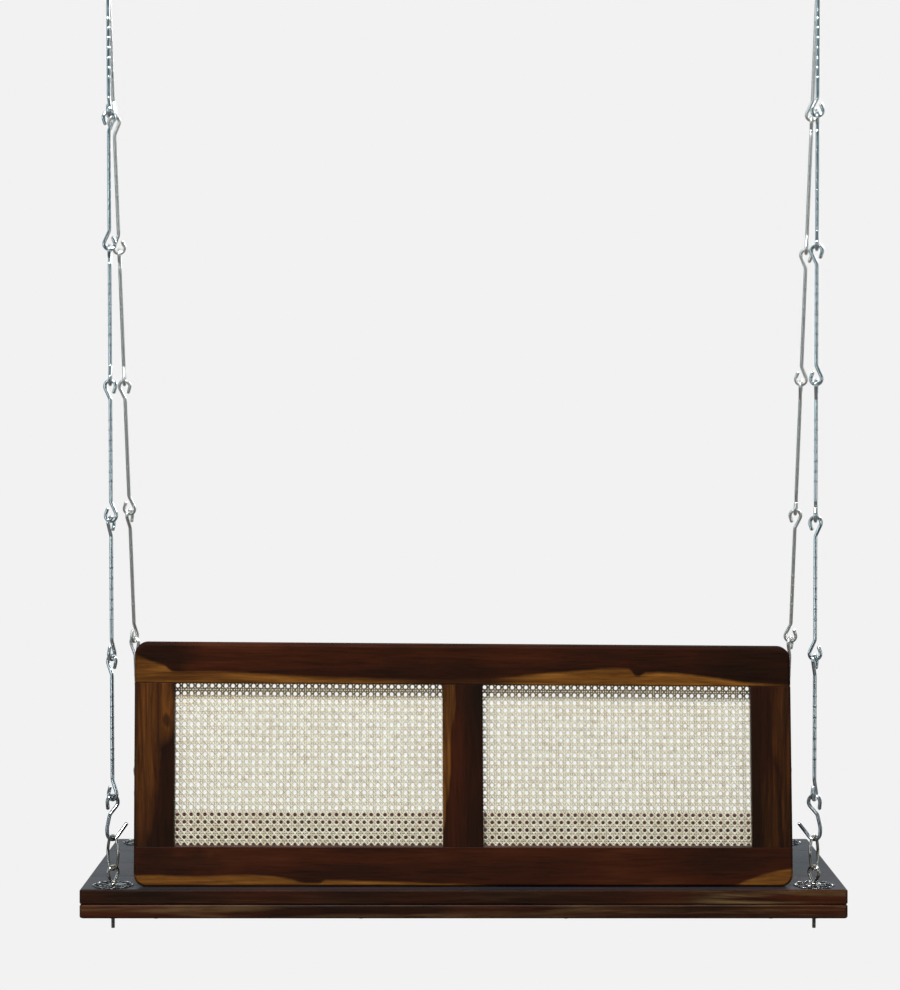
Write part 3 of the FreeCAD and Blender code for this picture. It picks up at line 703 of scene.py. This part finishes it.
def make_rod(reach, high_play, twist):
    """Path and radii of one rod, lower contact at the origin."""
    middle = Vector((0, 0, reach / 2))
    turn = Matrix.Rotation(radians(twist), 3, "Z")
    upper = rod_half(reach, high_play)
    lower = rod_half(reach, LINK_PLAY)
    path = [middle - p for p in reversed(lower)] + [middle + turn @ p for p in upper[1:]]
    path = eased(path, EASE_ROUNDS)
    radii = [
        rod_radius_at(abs(p.z - reach / 2)) if abs(p.x) + abs(p.y) < ROD_RADIUS else ROD_RADIUS
        for p in path
    ]
    return path, rounded_ends(radii, path)


def make_hook():
    """Path of the S-hook."""
    top_z = HOOK_REACH + LINK_PLAY / 2 - HOOK_TOP_BEND + HOOK_RADIUS
    low_z = -LINK_PLAY / 2 - HOOK_RADIUS + HOOK_LOW_BEND
    over = arc((0, top_z), HOOK_TOP_BEND, -HOOK_DIP, 180 + HOOK_LEAN, HOOK_TOP_PARTS)
    tip = over[0] + (over[0] - over[1]).normalized() * HOOK_TIP
    knee = Vector((HOOK_KNEE_OUT, 0, top_z - HOOK_KNEE_DOWN))
    belly = Vector((HOOK_LOW_BEND + HOOK_BELLY_OUT, 0, HOOK_BELLY_UP))
    under = arc((0, low_z), HOOK_LOW_BEND, 0, -HOOK_LOW_TURN, HOOK_LOW_PARTS)
    tail = under[-1] + (under[-1] - under[-2]).normalized() * HOOK_TAIL
    points = straight(tip, over[0])[:-1] + over
    points += straight(over[-1], knee)[1:] + straight(knee, belly)[1:]
    points += straight(belly, under[0])[1:] + under[1:] + straight(under[-1], tail)[1:]
    return eased(points, HOOK_EASE_ROUNDS)


def make_ring():
    """Path of the closed oval ring: tight arcs at its ends, wide ones along its sides."""
    middle_z = RING_REACH / 2
    end_z = middle_z + LINK_PLAY / 2 + RING_RADIUS - RING_END
    wide = (RING_HALF_WIDTH**2 + end_z**2 - RING_END**2) / (2 * (RING_HALF_WIDTH - RING_END))
    lean = degrees(atan2(end_z, wide - RING_HALF_WIDTH))
    shift = wide - RING_HALF_WIDTH
    path = arc((0, middle_z + end_z), RING_END, lean, 180 - lean, RING_END_PARTS)
    path += arc((shift, middle_z), wide, 180 - lean, 180 + lean, RING_SIDE_PARTS)[1:]
    path += arc((0, middle_z - end_z), RING_END, 180 + lean, 360 - lean, RING_END_PARTS)[1:]
    path += arc((-shift, middle_z), wide, -lean, lean, RING_SIDE_PARTS)[1:-1]
    return path


def make_eye():
    """Path of the drop-shaped eye above its collar."""
    bend_z = EYE_REACH + LINK_PLAY / 2 + EYE_RADIUS - EYE_BEND
    lean = degrees(asin(EYE_BEND / (bend_z - EYE_BASE)))
    over = arc((0, bend_z), EYE_BEND, -lean, 180 + lean, BEND_PARTS)
    right_foot = Vector((EYE_FOOT_HALF, 0, EYE_BASE))
    left_foot = Vector((-EYE_FOOT_HALF, 0, EYE_BASE))
    path = straight(right_foot, over[0])[:-1] + over + straight(over[-1], left_foot)[1:]
    return eased(path, EASE_ROUNDS)


def joined(parts):
    """Several vertex and face lists as one."""
    vertices = []
    faces = []
    for part_vertices, part_faces in parts:
        base = len(vertices)
        vertices += part_vertices
        faces += [tuple(i + base for i in face) for face in part_faces]
    return vertices, faces


def add_wire(name, node, body, path, radii, steel, sides=WIRE_SIDES, closed=False):
    """One wire of a chain in place of its solid."""
    wire = mesh_object(name, *tube(path, radii, sides, closed), steel)
    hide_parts(node)
    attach(wire, body)


def add_chain(side, depth):
    """The fine wires of one chain."""
    turns = TURNS[side]
    name = f"{depth}_{side}"
    steel = steel_near if depth == "near" else steel_far_painted_grey
    ring_joint = joints[f"{name}_ring_turn"]
    along = Vector(ring_joint["axis"]).normalized()
    path = stood(make_ring(), Vector(ring_joint["pos_m"]), along, turns["ring"])
    node = f"{name}_oval_ring"
    radii = [RING_RADIUS] * len(path)
    add_wire(f"{name}_ring_wire", node, node, path, radii, steel_ring, closed=True)
    local = make_hook()
    radii = rounded_ends([HOOK_RADIUS] * len(local), local)
    path = stood(local, Vector(joints[f"{name}_hook_turn"]["pos_m"]), along, turns["hook"])
    node = f"{name}_s_hook"
    # Near hooks take the darker painted-reflection copy, far hooks the paler one
    hook_steel_painted_tone = steel_hook_painted_dark if depth == "near" else steel
    add_wire(f"{name}_hook_wire", node, node, path, radii, hook_steel_painted_tone, HOOK_SIDES)
    starts = [Vector(joints[f"{name}_rod_{i}_turn"]["pos_m"]) for i in range(1, ROD_COUNT)]
    pitch = (starts[1] - starts[0]).length / MM
    starts.append(starts[-1] + along * pitch * MM)
    for i, low in enumerate(starts):
        is_top = i == ROD_COUNT - 1
        twist = turns["twist"] if is_top else 0.0
        local, radii = make_rod(pitch, TOP_PLAY if is_top else LINK_PLAY, twist)
        path = stood(local, low, along, ROD_TURNS[side][i])
        node = f"{name}_rod_{i + 1}"
        add_wire(f"{node}_wire", node, f"{name}_top_rod" if is_top else node, path, radii, steel)


for side_name in ("left", "right"):
    for depth_name in ("near", "far"):
        add_chain(side_name, depth_name)


# Eye bolts with threaded ends

BOLT_RADIUS = 3.0
BOLT_BELOW = 22.0
SEAT_THICKNESS = 46.0
STUD_TIP_RADIUS = 2.16
STUD_CHAMFER = 0.5
THREAD_PITCH = 1.25
THREAD_STEPS = 6
THREAD_HALF_DEPTH = 0.16
THREAD_IN_SEAT = 6.0
SMOOTH_IN_SEAT = 8.0
FLOWER_THICKNESS = 2.0
SHANK_ABOVE_FLOWER = 0.6
LATHE_SIDES = 20
STUD_MATERIAL = 1

# Height and radius of each row of the collar under the eye
COLLAR_ROWS = ((2.0, 4.4), (2.3, 5.0), (3.4, 5.0), (4.3, 3.4), (4.6, 2.2))


def eye_places():
    """The four eye bolts: side and the point where each meets the seat top."""
    places = []
    for side in ("left", "right"):
        for depth in ("near", "far"):
            contact = Vector(joints[f"{depth}_{side}_ring_turn"]["pos_m"])
            places.append((side, Vector((contact.x, contact.y, seat_top))))
    return places


def shank_profile():
    """Heights and radii of the threaded shank, in millimetres from the seat top."""
    bottom = -SEAT_THICKNESS - BOLT_BELOW
    count = int((BOLT_BELOW + THREAD_IN_SEAT) / THREAD_PITCH * THREAD_STEPS)
    rows = [(bottom, STUD_TIP_RADIUS)]
    for i in range(count):
        z = bottom + STUD_CHAMFER + i * THREAD_PITCH / THREAD_STEPS
        groove = THREAD_HALF_DEPTH * (cos(2 * pi * i / THREAD_STEPS) - 1)
        rows.append((z, BOLT_RADIUS + groove))
    rows.append((bottom + BOLT_BELOW + SMOOTH_IN_SEAT, BOLT_RADIUS))
    rows.append((FLOWER_THICKNESS + SHANK_ABOVE_FLOWER, BOLT_RADIUS))
    return rows


def lathe(rows, centre):
    """A turned solid about a standing axis; rows are (height, radius) in millimetres."""
    vertices = []
    for z, radius in rows:
        for k in range(LATHE_SIDES):
            angle = 2 * pi * k / LATHE_SIDES
            place = Vector((radius * cos(angle), radius * sin(angle), z))
            vertices.append(centre + place * MM)
    return vertices, skin(len(rows), LATHE_SIDES)


bolt_parts = []
stud_faces = []
for side_name, foot in eye_places():
    eye_path = stood(make_eye(), foot, Vector((0, 0, 1)), TURNS[side_name]["eye"])
    bolt_parts.append(tube(eye_path, [EYE_RADIUS] * len(eye_path), WIRE_SIDES))
    bolt_parts.append(lathe(COLLAR_ROWS, foot))
    shank = lathe(shank_profile(), foot)
    first = sum(len(faces) for _, faces in bolt_parts)
    stud_faces.append(range(first, first + len(shank[1])))
    bolt_parts.append(shank)
eye_bolts = mesh_object("eye_bolt_wires", *joined(bolt_parts), steel_ring)
eye_bolts.data.materials.append(steel_bolt)
for span in stud_faces:
    for i in span:
        eye_bolts.data.polygons[i].material_index = STUD_MATERIAL
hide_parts("eye_bolts")
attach(eye_bolts, "seat")


# Flower washers

FLOWER_RADIUS = 33.0
FLOWER_SHEET = 0.2
FLOWER_RELIEF = 1.1
FLOWER_CURL = 0.5
FLOWER_CELL = 0.5
RIM_LOW = 28.6
RIM_LOBE = 4.2
PETALS = 8
PETAL_WIDTH_SHARE = 0.80
HUB_RADIUS = 8.0
HUB_OVERLAP = 1.0
BOLT_HOLE = 3.2
RIM_BAND = 1.1
PETAL_BAND = 1.05
VEIN_BAND = 0.8
VEIN_END = 18.0


def flower_relief(u, v):
    """How full the pierced flower's metal is at a place, from 1 at a band's middle to 0 at its edge."""
    radius = hypot(u, v)
    angle = atan2(v, u)
    rim = RIM_LOW + RIM_LOBE * abs(cos(angle * PETALS / 2)) ** 0.6
    if radius > rim or radius < BOLT_HOLE:
        return 0.0
    half_arc = pi / PETALS * radius
    sector = (angle * PETALS / (2 * pi) + 0.5) % 1.0
    off = abs(sector - 0.5) * 2 * half_arc
    start = HUB_RADIUS - HUB_OVERLAP
    reach = rim - 2 * RIM_BAND - start
    along = min(1.0, max(0.0, (radius - start) / reach))
    petal = PETAL_WIDTH_SHARE * half_arc * sin(pi * along) ** 0.75
    fullness = [
        1 - abs(radius - rim + RIM_BAND) / RIM_BAND,
        1 - abs(radius - (HUB_RADIUS + BOLT_HOLE) / 2) / ((HUB_RADIUS - BOLT_HOLE) / 2),
    ]
    if radius > start:
        fullness.append(1 - abs(off - petal) / PETAL_BAND)
        if radius < VEIN_END:
            fullness.append(1 - off / VEIN_BAND)
    return max(0.0, *fullness)


def flower_grid(centre):
    """The flower as a pierced plate whose bands are rounded on top."""
    cell = FLOWER_CELL
    count = int(FLOWER_RADIUS / cell) + 2
    solid = {
        (i, j)
        for i in range(-count, count)
        for j in range(-count, count)
        if flower_relief((i + 0.5) * cell, (j + 0.5) * cell) > 0
    }
    vertices = []
    index = {}

    def corner(i, j, top):
        key = (i, j, top)
        if key not in index:
            index[key] = len(vertices)
            u, v = i * cell, j * cell
            reach = hypot(u, v) / FLOWER_RADIUS
            curl = FLOWER_CURL * reach**2 * abs(cos(atan2(v, u) * PETALS / 2)) ** 2
            rounded = sqrt(min(1.0, 1.6 * flower_relief(u, v)))
            lift = curl + (FLOWER_SHEET + FLOWER_RELIEF * rounded if top else 0.0)
            vertices.append(centre + Vector((u, v, lift)) * MM)
        return index[key]

    faces = []
    for i, j in sorted(solid):
        square = ((i, j), (i + 1, j), (i + 1, j + 1), (i, j + 1))
        faces.append(tuple(corner(*at, True) for at in square))
        faces.append(tuple(corner(*square[k], False) for k in (0, 3, 2, 1)))
        for di, dj, k in ((-1, 0, 3), (1, 0, 1), (0, -1, 0), (0, 1, 2)):
            if (i + di, j + dj) not in solid:
                a, b = square[k], square[(k + 1) % 4]
                wall = ((*a, True), (*a, False), (*b, False), (*b, True))
                faces.append(tuple(corner(*at) for at in wall))
    return vertices, faces


flower_parts = [flower_grid(foot) for _, foot in eye_places()]
flowers = mesh_object("flower_plates", *joined(flower_parts), steel_flower)
smoothing = flowers.modifiers.new("even", "SMOOTH")
smoothing.iterations = 2
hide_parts("rosette_washers")
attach(flowers, "seat")


# The backrest isn't quite square: how far its corners lie from true, in millimetres

CORNER_TOP_LEFT = Vector((-1.4, 0, 2.5))
CORNER_TOP_RIGHT = Vector((-2.2, 0, -5.0))
CORNER_BOTTOM_LEFT = Vector((-3.6, 0, 0))
CORNER_BOTTOM_RIGHT = Vector((3.0, 0, 0))


def made_by_hand(thing):
    """Moves a backrest piece's points as the four corners are out of true."""
    half = -back_low.x
    height = back_high.z - seat_top
    for vertex in thing.data.vertices:
        u = (vertex.co.x + half) / (2 * half)
        v = max(0.0, (vertex.co.z - seat_top) / height)
        low_move = CORNER_BOTTOM_LEFT.lerp(CORNER_BOTTOM_RIGHT, u)
        high_move = CORNER_TOP_LEFT.lerp(CORNER_TOP_RIGHT, u)
        vertex.co += low_move.lerp(high_move, v) * MM


# Woven cane

REBATE = 9.7
CANE_PITCH_X = 11.04
CANE_PITCH_Z = 12.08
FIRST_HOLE_X = 3.4
FIRST_HOLE_DOWN = 6.0
PAIR_HALF = 1.66
LEVEL_PAIR_HALF = 1.98
STRAND_HALF = 0.96
DIAGONAL_HALF = 1.20
STRAND_RISE = 0.45
STRAND_BODY = 0.42
STRAND_UNEVEN_SHARE = 0.06
CANE_MARGIN = 0.5
CANE_DRIFT = 0.12
CANE_PINCH = 0.25
DIAGONAL_LAYER_SHARE = 0.55
DIAGONAL_RISE_SHARE = 0.9
STEPS_PER_CELL = 4
CANE_SEED = 7
CANE_FRONT = Vector((0, -1, 0))

# Across and along the thickness, the corners of a strand's section in half widths and half bodies
STRAND_SECTION = ((1, 0.1), (0.5, -1), (-0.5, -1), (-1, 0.1), (-0.4, 0.7), (0.4, 0.7))


def ribbon(points, half_width, wander):
    """A thin flat strand along points, a little uneven in width and place."""
    vertices = []
    count = len(points)
    for i, p in enumerate(points):
        before = points[max(i - 1, 0)]
        after = points[min(i + 1, count - 1)]
        way = (after - before).normalized()
        side = way.cross(CANE_FRONT).normalized()
        width = half_width * wander.uniform(1 - STRAND_UNEVEN_SHARE, 1 + STRAND_UNEVEN_SHARE)
        for a, b in STRAND_SECTION:
            vertices.append((p + side * width * a - CANE_FRONT * b * STRAND_BODY / 2) * MM)
    return vertices, skin(count, len(STRAND_SECTION), capped=False)


def cane_weave(name):
    """One woven panel: pairs of upright and level strands with diagonals between the openings."""
    low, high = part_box(name)
    width = (high.x - low.x) / MM
    height = (high.z - low.z) / MM
    left = low.x / MM
    base = low.z / MM
    middle_y = (low.y + high.y) / 2 / MM
    column_zero = left + REBATE + FIRST_HOLE_X - CANE_PITCH_X / 2
    row_zero = high.z / MM - REBATE - FIRST_HOLE_DOWN + CANE_PITCH_Z / 2
    wander = random.Random(CANE_SEED)
    parts = []

    def inside(x, z):
        in_width = CANE_MARGIN < x - left < width - CANE_MARGIN
        return in_width and CANE_MARGIN < z - base < height - CANE_MARGIN

    def strand(cells, half_width, place, *which):
        run = []
        for step in range(cells * STEPS_PER_CELL + 1):
            x, z, lift = place(step / STEPS_PER_CELL, *which)
            if inside(x, z):
                run.append(Vector((x, middle_y - lift, z)))
            elif len(run) > 1:
                parts.append(ribbon(run, half_width, wander))
                run = []
        if len(run) > 1:
            parts.append(ribbon(run, half_width, wander))

    def upright(t, column, side, drift):
        turn = cos(2 * pi * t)
        x = column_zero + column * CANE_PITCH_X + side * (PAIR_HALF + CANE_PINCH * turn) + drift
        return x, row_zero + (1.5 - t) * CANE_PITCH_Z, STRAND_RISE * side * turn

    def level(t, row, side, drift):
        turn = cos(2 * pi * t)
        z = row_zero - row * CANE_PITCH_Z + side * (LEVEL_PAIR_HALF + CANE_PINCH * turn) + drift
        return column_zero + (t - 1.5) * CANE_PITCH_X, z, -STRAND_RISE * side * turn

    def diagonal(t, start, rising, drift):
        x = column_zero + (start + 0.5 + rising * t) * CANE_PITCH_X + drift
        weave = DIAGONAL_RISE_SHARE * (1 + cos(4 * pi * t) * rising)
        lift = STRAND_RISE * (DIAGONAL_LAYER_SHARE * rising + weave)
        return x, row_zero - (t - 1) * CANE_PITCH_Z, lift

    def drift():
        return wander.uniform(-CANE_DRIFT, CANE_DRIFT)

    columns = int(width / CANE_PITCH_X) + 3
    rows = int(height / CANE_PITCH_Z) + 3
    for column in range(-1, columns):
        for side in (-1, 1):
            strand(rows + 2, STRAND_HALF, upright, column, side, drift())
    under_faces = sum(len(faces) for _, faces in parts)
    for row in range(-1, rows):
        for side in (-1, 1):
            strand(columns + 2, STRAND_HALF, level, row, side, drift())
    for rising in (1, -1):
        for start in range(-rows - 3, columns + rows + 3):
            strand(rows + 2, DIAGONAL_HALF, diagonal, start, rising, drift())
    panel = mesh_object(f"{name}_weave", *joined(parts), cane_over)
    # The upright strands take the darker painted-shade copy of the cane
    panel.data.materials.append(cane_under_painted_shade)
    for face in panel.data.polygons[:under_faces]:
        face.material_index = 1
    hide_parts(name)
    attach(panel, "seat")
    return panel


for panel_name in ("cane_panel_left", "cane_panel_right"):
    made_by_hand(cane_weave(panel_name))


# Wooden pieces with eased edges

EASE_SEGMENTS = 3
EASE_ANGLE = 28.0
FLAT_ANGLE = 1.0


def wooden(node, material, ease, side_material=None):
    """A softened copy of a wooden solid with eased edges; its sides may show another wood."""
    mesh = nodes[node].data.copy()
    mesh.materials.clear()
    mesh.materials.append(material)
    mesh.materials.append(side_material or material)
    piece = bpy.data.objects.new(f"{node}_wood", mesh)
    scene.collection.objects.link(piece)
    cleaned = bmesh.new()
    cleaned.from_mesh(mesh)
    bmesh.ops.remove_doubles(cleaned, verts=cleaned.verts, dist=1e-5)
    flat = radians(FLAT_ANGLE)
    bmesh.ops.dissolve_limit(cleaned, angle_limit=flat, verts=cleaned.verts, edges=cleaned.edges)
    cleaned.to_mesh(mesh)
    cleaned.free()
    bevel = piece.modifiers.new("ease", "BEVEL")
    bevel.width = ease * MM
    bevel.segments = EASE_SEGMENTS
    bevel.limit_method = "ANGLE"
    bevel.angle_limit = radians(EASE_ANGLE)
    bevel.material = 1
    for face in mesh.polygons:
        face.use_smooth = True
        face.material_index = 1 if abs(face.normal.z) < 0.5 else 0
    piece.modifiers.new("even_shade", "WEIGHTED_NORMAL")
    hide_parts(node)
    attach(piece, "seat")
    return piece


# The top rail's up and down faces take the painted-shade wood, its sides the rail's own
made_by_hand(wooden("back_top_rail", wood_top_painted_shade, 2.4, wood_top_rail))
made_by_hand(wooden("back_bottom_rail", wood_bottom_rail, 0.8))
made_by_hand(wooden("back_stile_left", wood_left, 0.8))
made_by_hand(wooden("back_mullion", wood_mullion, 0.8))
made_by_hand(wooden("back_stile_right", wood_right, 0.8))
made_by_hand(wooden("cane_beads", wood_bead, 0.6))
for board in range(1, 5):
    wooden(f"seat_board_{board}", wood_seat_top, 0.8, wood_board_edge)
for rail in ("back", "front", "left", "right"):
    wooden(f"seat_rail_{rail}", wood_frame, 1.2)


# Seat cushion, sizes in millimetres

CUSHION_CORNER = 30.0
CUSHION_PULL = 6.0
CUSHION_SEAM_HIGH = 45.0
CUSHION_SEAM_LOW = 4.5
CUSHION_CROWN = 8.5
CUSHION_BULGE = 2.5
PIPING_RADIUS = 2.9
PIPING_INSET = 1.0
PIPING_SIDES = 8
SEAM_INSET = 1.6
SIDE_STEPS = 90
END_STEPS = 36
CORNER_STEPS = 8
SIDE_PARTS = 6
PUCKER_SIZE = 17.0
PUCKER_DEPTH = 1.1
PUCKER_FADE_DOWN = 9.0
PUCKER_FADE_IN = 26.0
UNEVEN_LENGTH = 130.0
UNEVEN_WIDTH = 110.0
UNEVEN_DEPTH = 1.6
UNEVEN_FROM = 60.0

# Inset and height of the rings under the cushion, and insets of those on its crown
UNDERSIDE_RINGS = ((60.0, 0.4), (20.0, 0.4), (5.0, 1.2))
CROWN_INSETS = (4, 8, 14, 22, 32, 46, 64, 86, 110, 136, 162)


def cushion_outline(half_x, half_y, inset):
    """The cushion's outline drawn in by an inset, its sides pulled in between the corners."""
    a = half_x - inset
    b = half_y - inset
    r = max(CUSHION_CORNER - inset, 0.0)
    corners = ((a - r, b - r, 0), (r - a, b - r, 90), (r - a, r - b, 180), (a - r, r - b, 270))

    def on_corner(k, turn):
        x, y, start = corners[k % 4]
        angle = radians(start + turn)
        return x + r * cos(angle), y + r * sin(angle)

    points = []
    for k in range(4):
        points += [on_corner(k, 90 * i / CORNER_STEPS) for i in range(CORNER_STEPS)]
        ends = list(zip(on_corner(k, 90), on_corner(k + 1, 0)))
        steps = SIDE_STEPS if k % 2 == 0 else END_STEPS
        points += [tuple(p + (q - p) * (i / steps) for p, q in ends) for i in range(steps)]
    pulled = []
    for x, y in points:
        pull_x = CUSHION_PULL * (1 - min(1.0, abs(y / half_y)) ** 2.5) * (x / half_x)
        pull_y = CUSHION_PULL * (1 - min(1.0, abs(x / half_x)) ** 4) * (y / half_y)
        pulled.append((x - pull_x, y - pull_y))
    return pulled


def cushion_rows(half_y):
    """Insets and heights of the cushion's rings, from its underside to its crown."""
    rows = [*UNDERSIDE_RINGS, (SEAM_INSET, CUSHION_SEAM_LOW)]
    rise = CUSHION_SEAM_HIGH - CUSHION_SEAM_LOW
    for i in range(1, SIDE_PARTS):
        share = i / SIDE_PARTS
        bulge = CUSHION_BULGE * sin(pi * share)
        rows.append((SEAM_INSET - bulge, CUSHION_SEAM_LOW + rise * share))
    rows.append((SEAM_INSET, CUSHION_SEAM_HIGH))
    for inset in (*CROWN_INSETS, half_y - 8, half_y - 1):
        share = min(1.0, inset / half_y)
        rows.append((inset, CUSHION_SEAM_HIGH + CUSHION_CROWN * (1 - (1 - share) ** 5)))
    return rows


def puckered(x, y, z, inset):
    """Small sewing puckers near the seams and broad unevenness on the crown."""
    if z <= CUSHION_SEAM_LOW + 1:
        return z
    inset = max(inset, 0)
    near_seam = exp(-abs(z - CUSHION_SEAM_HIGH) / PUCKER_FADE_DOWN - inset / PUCKER_FADE_IN)
    pucker = smooth_noise.noise(Vector((x / PUCKER_SIZE, y / PUCKER_SIZE, 0.3)))
    broad = smooth_noise.noise(Vector((x / UNEVEN_LENGTH, y / UNEVEN_WIDTH, 2.1)))
    broad *= min(1.0, inset / UNEVEN_FROM)
    return z + pucker * PUCKER_DEPTH * near_seam + broad * UNEVEN_DEPTH


def cushion_piece():
    """The seat cushion: a boxed cover, crowned on top, with piping along both seams."""
    low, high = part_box("seat_cushion")
    middle_x = (low.x + high.x) / 2
    middle_y = (low.y + high.y) / 2
    half_x = (high.x - low.x) / 2 / MM
    half_y = (high.y - low.y) / 2 / MM

    def placed(x, y, z):
        return Vector((middle_x + x * MM, middle_y + y * MM, low.z + z * MM))

    rows = cushion_rows(half_y)
    vertices = []
    for inset, z in rows:
        outline = cushion_outline(half_x, half_y, inset)
        vertices += [placed(x, y, puckered(x, y, z, inset)) for x, y in outline]
    shells = [(vertices, skin(len(rows), len(vertices) // len(rows)))]
    for seam in (CUSHION_SEAM_LOW, CUSHION_SEAM_HIGH):
        path = [placed(x, y, seam) for x, y in cushion_outline(half_x, half_y, PIPING_INSET)]
        shells.append(tube(path, [PIPING_RADIUS] * len(path), PIPING_SIDES, True))
    cushion = mesh_object("seat_cushion_cover", *joined(shells), cloth)
    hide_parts("seat_cushion")
    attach(cushion, "seat")


cushion_piece()


def dress(node, material):
    """Puts a material on a solid that keeps its shape."""
    thing = nodes[node]
    for place in thing.material_slots:
        place.material = material


dress("seat_battens", wood_frame)
dress("back_screws", steel_bolt)
dress("bolt_nuts_and_washers", steel_bolt)
for side_name in ("left", "right"):
    dress(f"ceiling_bracket_{side_name}", steel_plate)
    dress(f"pivot_pin_{side_name}", steel_plate)
    dress(f"hanger_{side_name}", steel_near)


# Stage: floor, backdrop and lights

BACKDROP_LEVEL = 0.887
BACKDROP_FADE = 3.0
BACKDROP_TURN = 2.0
BACKDROP_SHARE = 0.5
FLOOR_TONE = 0.16
FLOOR_LIFT = 0.66
FLOOR_UNSEEN_TONE = 0.14
FLOOR_SHADE_X = 1.25
FLOOR_SHADE_Y = 0.85
FLOOR_SIZE = 120.0
SEAT_ABOVE_FLOOR = 0.45
ROOM_TINT = (0.64, 0.90, 1.0, 1)
ROOM_GLOW = 0.05

# The room's glow from one side each: axis, sign, power of its fall and strength
GLOW_SIDES = ((2, 1.0, 1.0, 0.12), (0, -1.0, 2.0, 0.55), (0, 1.0, 2.0, 0.28), (1, 1.0, 4.0, 0.34))


def glowing(tree, strength):
    """A white glow."""
    return add(tree, "Emission", {0: (1, 1, 1, 1), 1: strength}).outputs[0]


def matt(tree, grey):
    """A matt grey surface."""
    return add(tree, "BsdfDiffuse", {0: (grey, grey, grey, 1)}).outputs[0]


def mix_shader(tree, factor, first, second):
    """Two shaders mixed by a factor."""
    return add(tree, "MixShader", {0: factor, 1: first, 2: second}).outputs[0]


def backdrop_shown(tree, facing):
    """The backdrop's share in what a ray sees: all for the camera, less in mirrors that face it."""
    ray = add(tree, "LightPath", {})
    mirrored = maths(tree, "MULTIPLY", ray.outputs["Is Glossy Ray"], facing)
    mirrored = maths(tree, "MULTIPLY", mirrored, BACKDROP_SHARE)
    return maths(tree, "MAXIMUM", ray.outputs["Is Camera Ray"], mirrored)


def floor_material():
    """A pale floor: shaded under the swing, as bright as the backdrop further out."""
    material = bpy.data.materials.new("floor")
    tree = empty_tree(material)
    near = add(tree, "AddShader", {0: matt(tree, FLOOR_TONE), 1: glowing(tree, FLOOR_LIFT)})
    place = object_space(tree, (1 / FLOOR_SHADE_X, 1 / FLOOR_SHADE_Y, 1))
    length = add(tree, "VectorMath", {0: place})
    length.operation = "LENGTH"
    fade = ramp(tree, length.outputs["Value"], [(0.70, 0.0), (1.0, 1.0)], "EASE")
    seen = mix_shader(tree, fade, near.outputs[0], glowing(tree, BACKDROP_LEVEL))
    beyond = maths(tree, "DIVIDE", coordinate(tree, "y"), BACKDROP_FADE, clamp=True)
    shown = backdrop_shown(tree, beyond)
    surface = mix_shader(tree, shown, matt(tree, FLOOR_UNSEEN_TONE), seen)
    add(tree, "OutputMaterial", {0: surface})
    return material


def add_floor():
    """The floor as one large square below the seat."""
    half = FLOOR_SIZE / 2
    corners = [(-half, -half, 0), (half, -half, 0), (half, half, 0), (-half, half, 0)]
    floor = mesh_object("floor", corners, [(0, 1, 2, 3)], floor_material())
    floor.location = (0, 0, seat_top - SEAT_ABOVE_FLOOR)


def room_world():
    """A dim room that lights the swing, and the pale backdrop in place of it where that is seen."""
    world = bpy.data.worlds.new("world")
    tree = empty_tree(world)
    way = add(tree, "SeparateXYZ", {0: add(tree, "TexCoord", {}).outputs["Generated"]})
    glow = ROOM_GLOW
    for axis, sign, power, strength in GLOW_SIDES:
        toward = maths(tree, "MULTIPLY", way.outputs[axis], sign)
        toward = maths(tree, "POWER", maths(tree, "MAXIMUM", toward, 0.0), power)
        glow = maths(tree, "MULTIPLY_ADD", toward, strength, glow)
    room = add(tree, "Background", {0: ROOM_TINT, 1: glow})
    backdrop = add(tree, "Background", {0: (BACKDROP_LEVEL, BACKDROP_LEVEL, BACKDROP_LEVEL, 1)})
    facing = maths(tree, "MULTIPLY", way.outputs[1], BACKDROP_TURN, clamp=True)
    shown = backdrop_shown(tree, facing)
    seen = mix_shader(tree, shown, room.outputs[0], backdrop.outputs[0])
    add(tree, "OutputWorld", {0: seen})
    return world


add_floor()
scene.world = room_world()


def area_light(name, size, location, target, power, colour=(1, 1, 1)):
    """A soft light aimed at a point."""
    light = bpy.data.lights.new(name, "AREA")
    light.shape = "RECTANGLE"
    light.size, light.size_y = size
    light.energy = power
    light.color = colour
    thing = bpy.data.objects.new(name, light)
    thing.location = location
    way = Vector(target) - Vector(location)
    thing.rotation_euler = way.to_track_quat("-Z", "Y").to_euler()
    scene.collection.objects.link(thing)


middle = (0, 0, seat_top + 0.3)
area_light("key", (0.9, 0.7), (-0.5, -2.5, seat_top + 3.6), middle, 195)
area_light("left_strip", (0.35, 2.4), (-2.3, -3.0, seat_top + 1.1), middle, 16, (0.84, 0.93, 1.0))
area_light("right_strip", (0.30, 2.2), (2.8, -2.7, seat_top + 1.0), middle, 10, (1.0, 0.97, 0.92))
area_light("top", (2.4, 1.4), (0.3, 1.6, seat_top + 3.4), middle, 14)
area_light("front_fill", (1.6, 1.0), (2.9, 2.9, seat_top + 2.9), middle, 110)


# Camera

CAMERA_X = -0.0216
CAMERA_DISTANCE = 4.05
CAMERA_ABOVE_SEAT = 0.796
FOCAL_PIXELS = 2553.0
HORIZON_ROW = 388.0
LONG_SIDE = 990.0
SENSOR_WIDTH = 36.0
camera_data = bpy.data.cameras.new("camera")
camera_data.sensor_width = SENSOR_WIDTH
camera_data.lens = SENSOR_WIDTH * FOCAL_PIXELS / LONG_SIDE
camera_data.shift_y = (HORIZON_ROW - LONG_SIDE / 2) / LONG_SIDE
camera_data.clip_end = 200.0
camera = bpy.data.objects.new("camera", camera_data)
camera.location = (CAMERA_X, seat_low.y - CAMERA_DISTANCE, seat_top + CAMERA_ABOVE_SEAT)
camera.rotation_euler = (radians(90), 0, 0)
scene.collection.objects.link(camera)
scene.camera = camera
scene.view_settings.view_transform = "Standard"
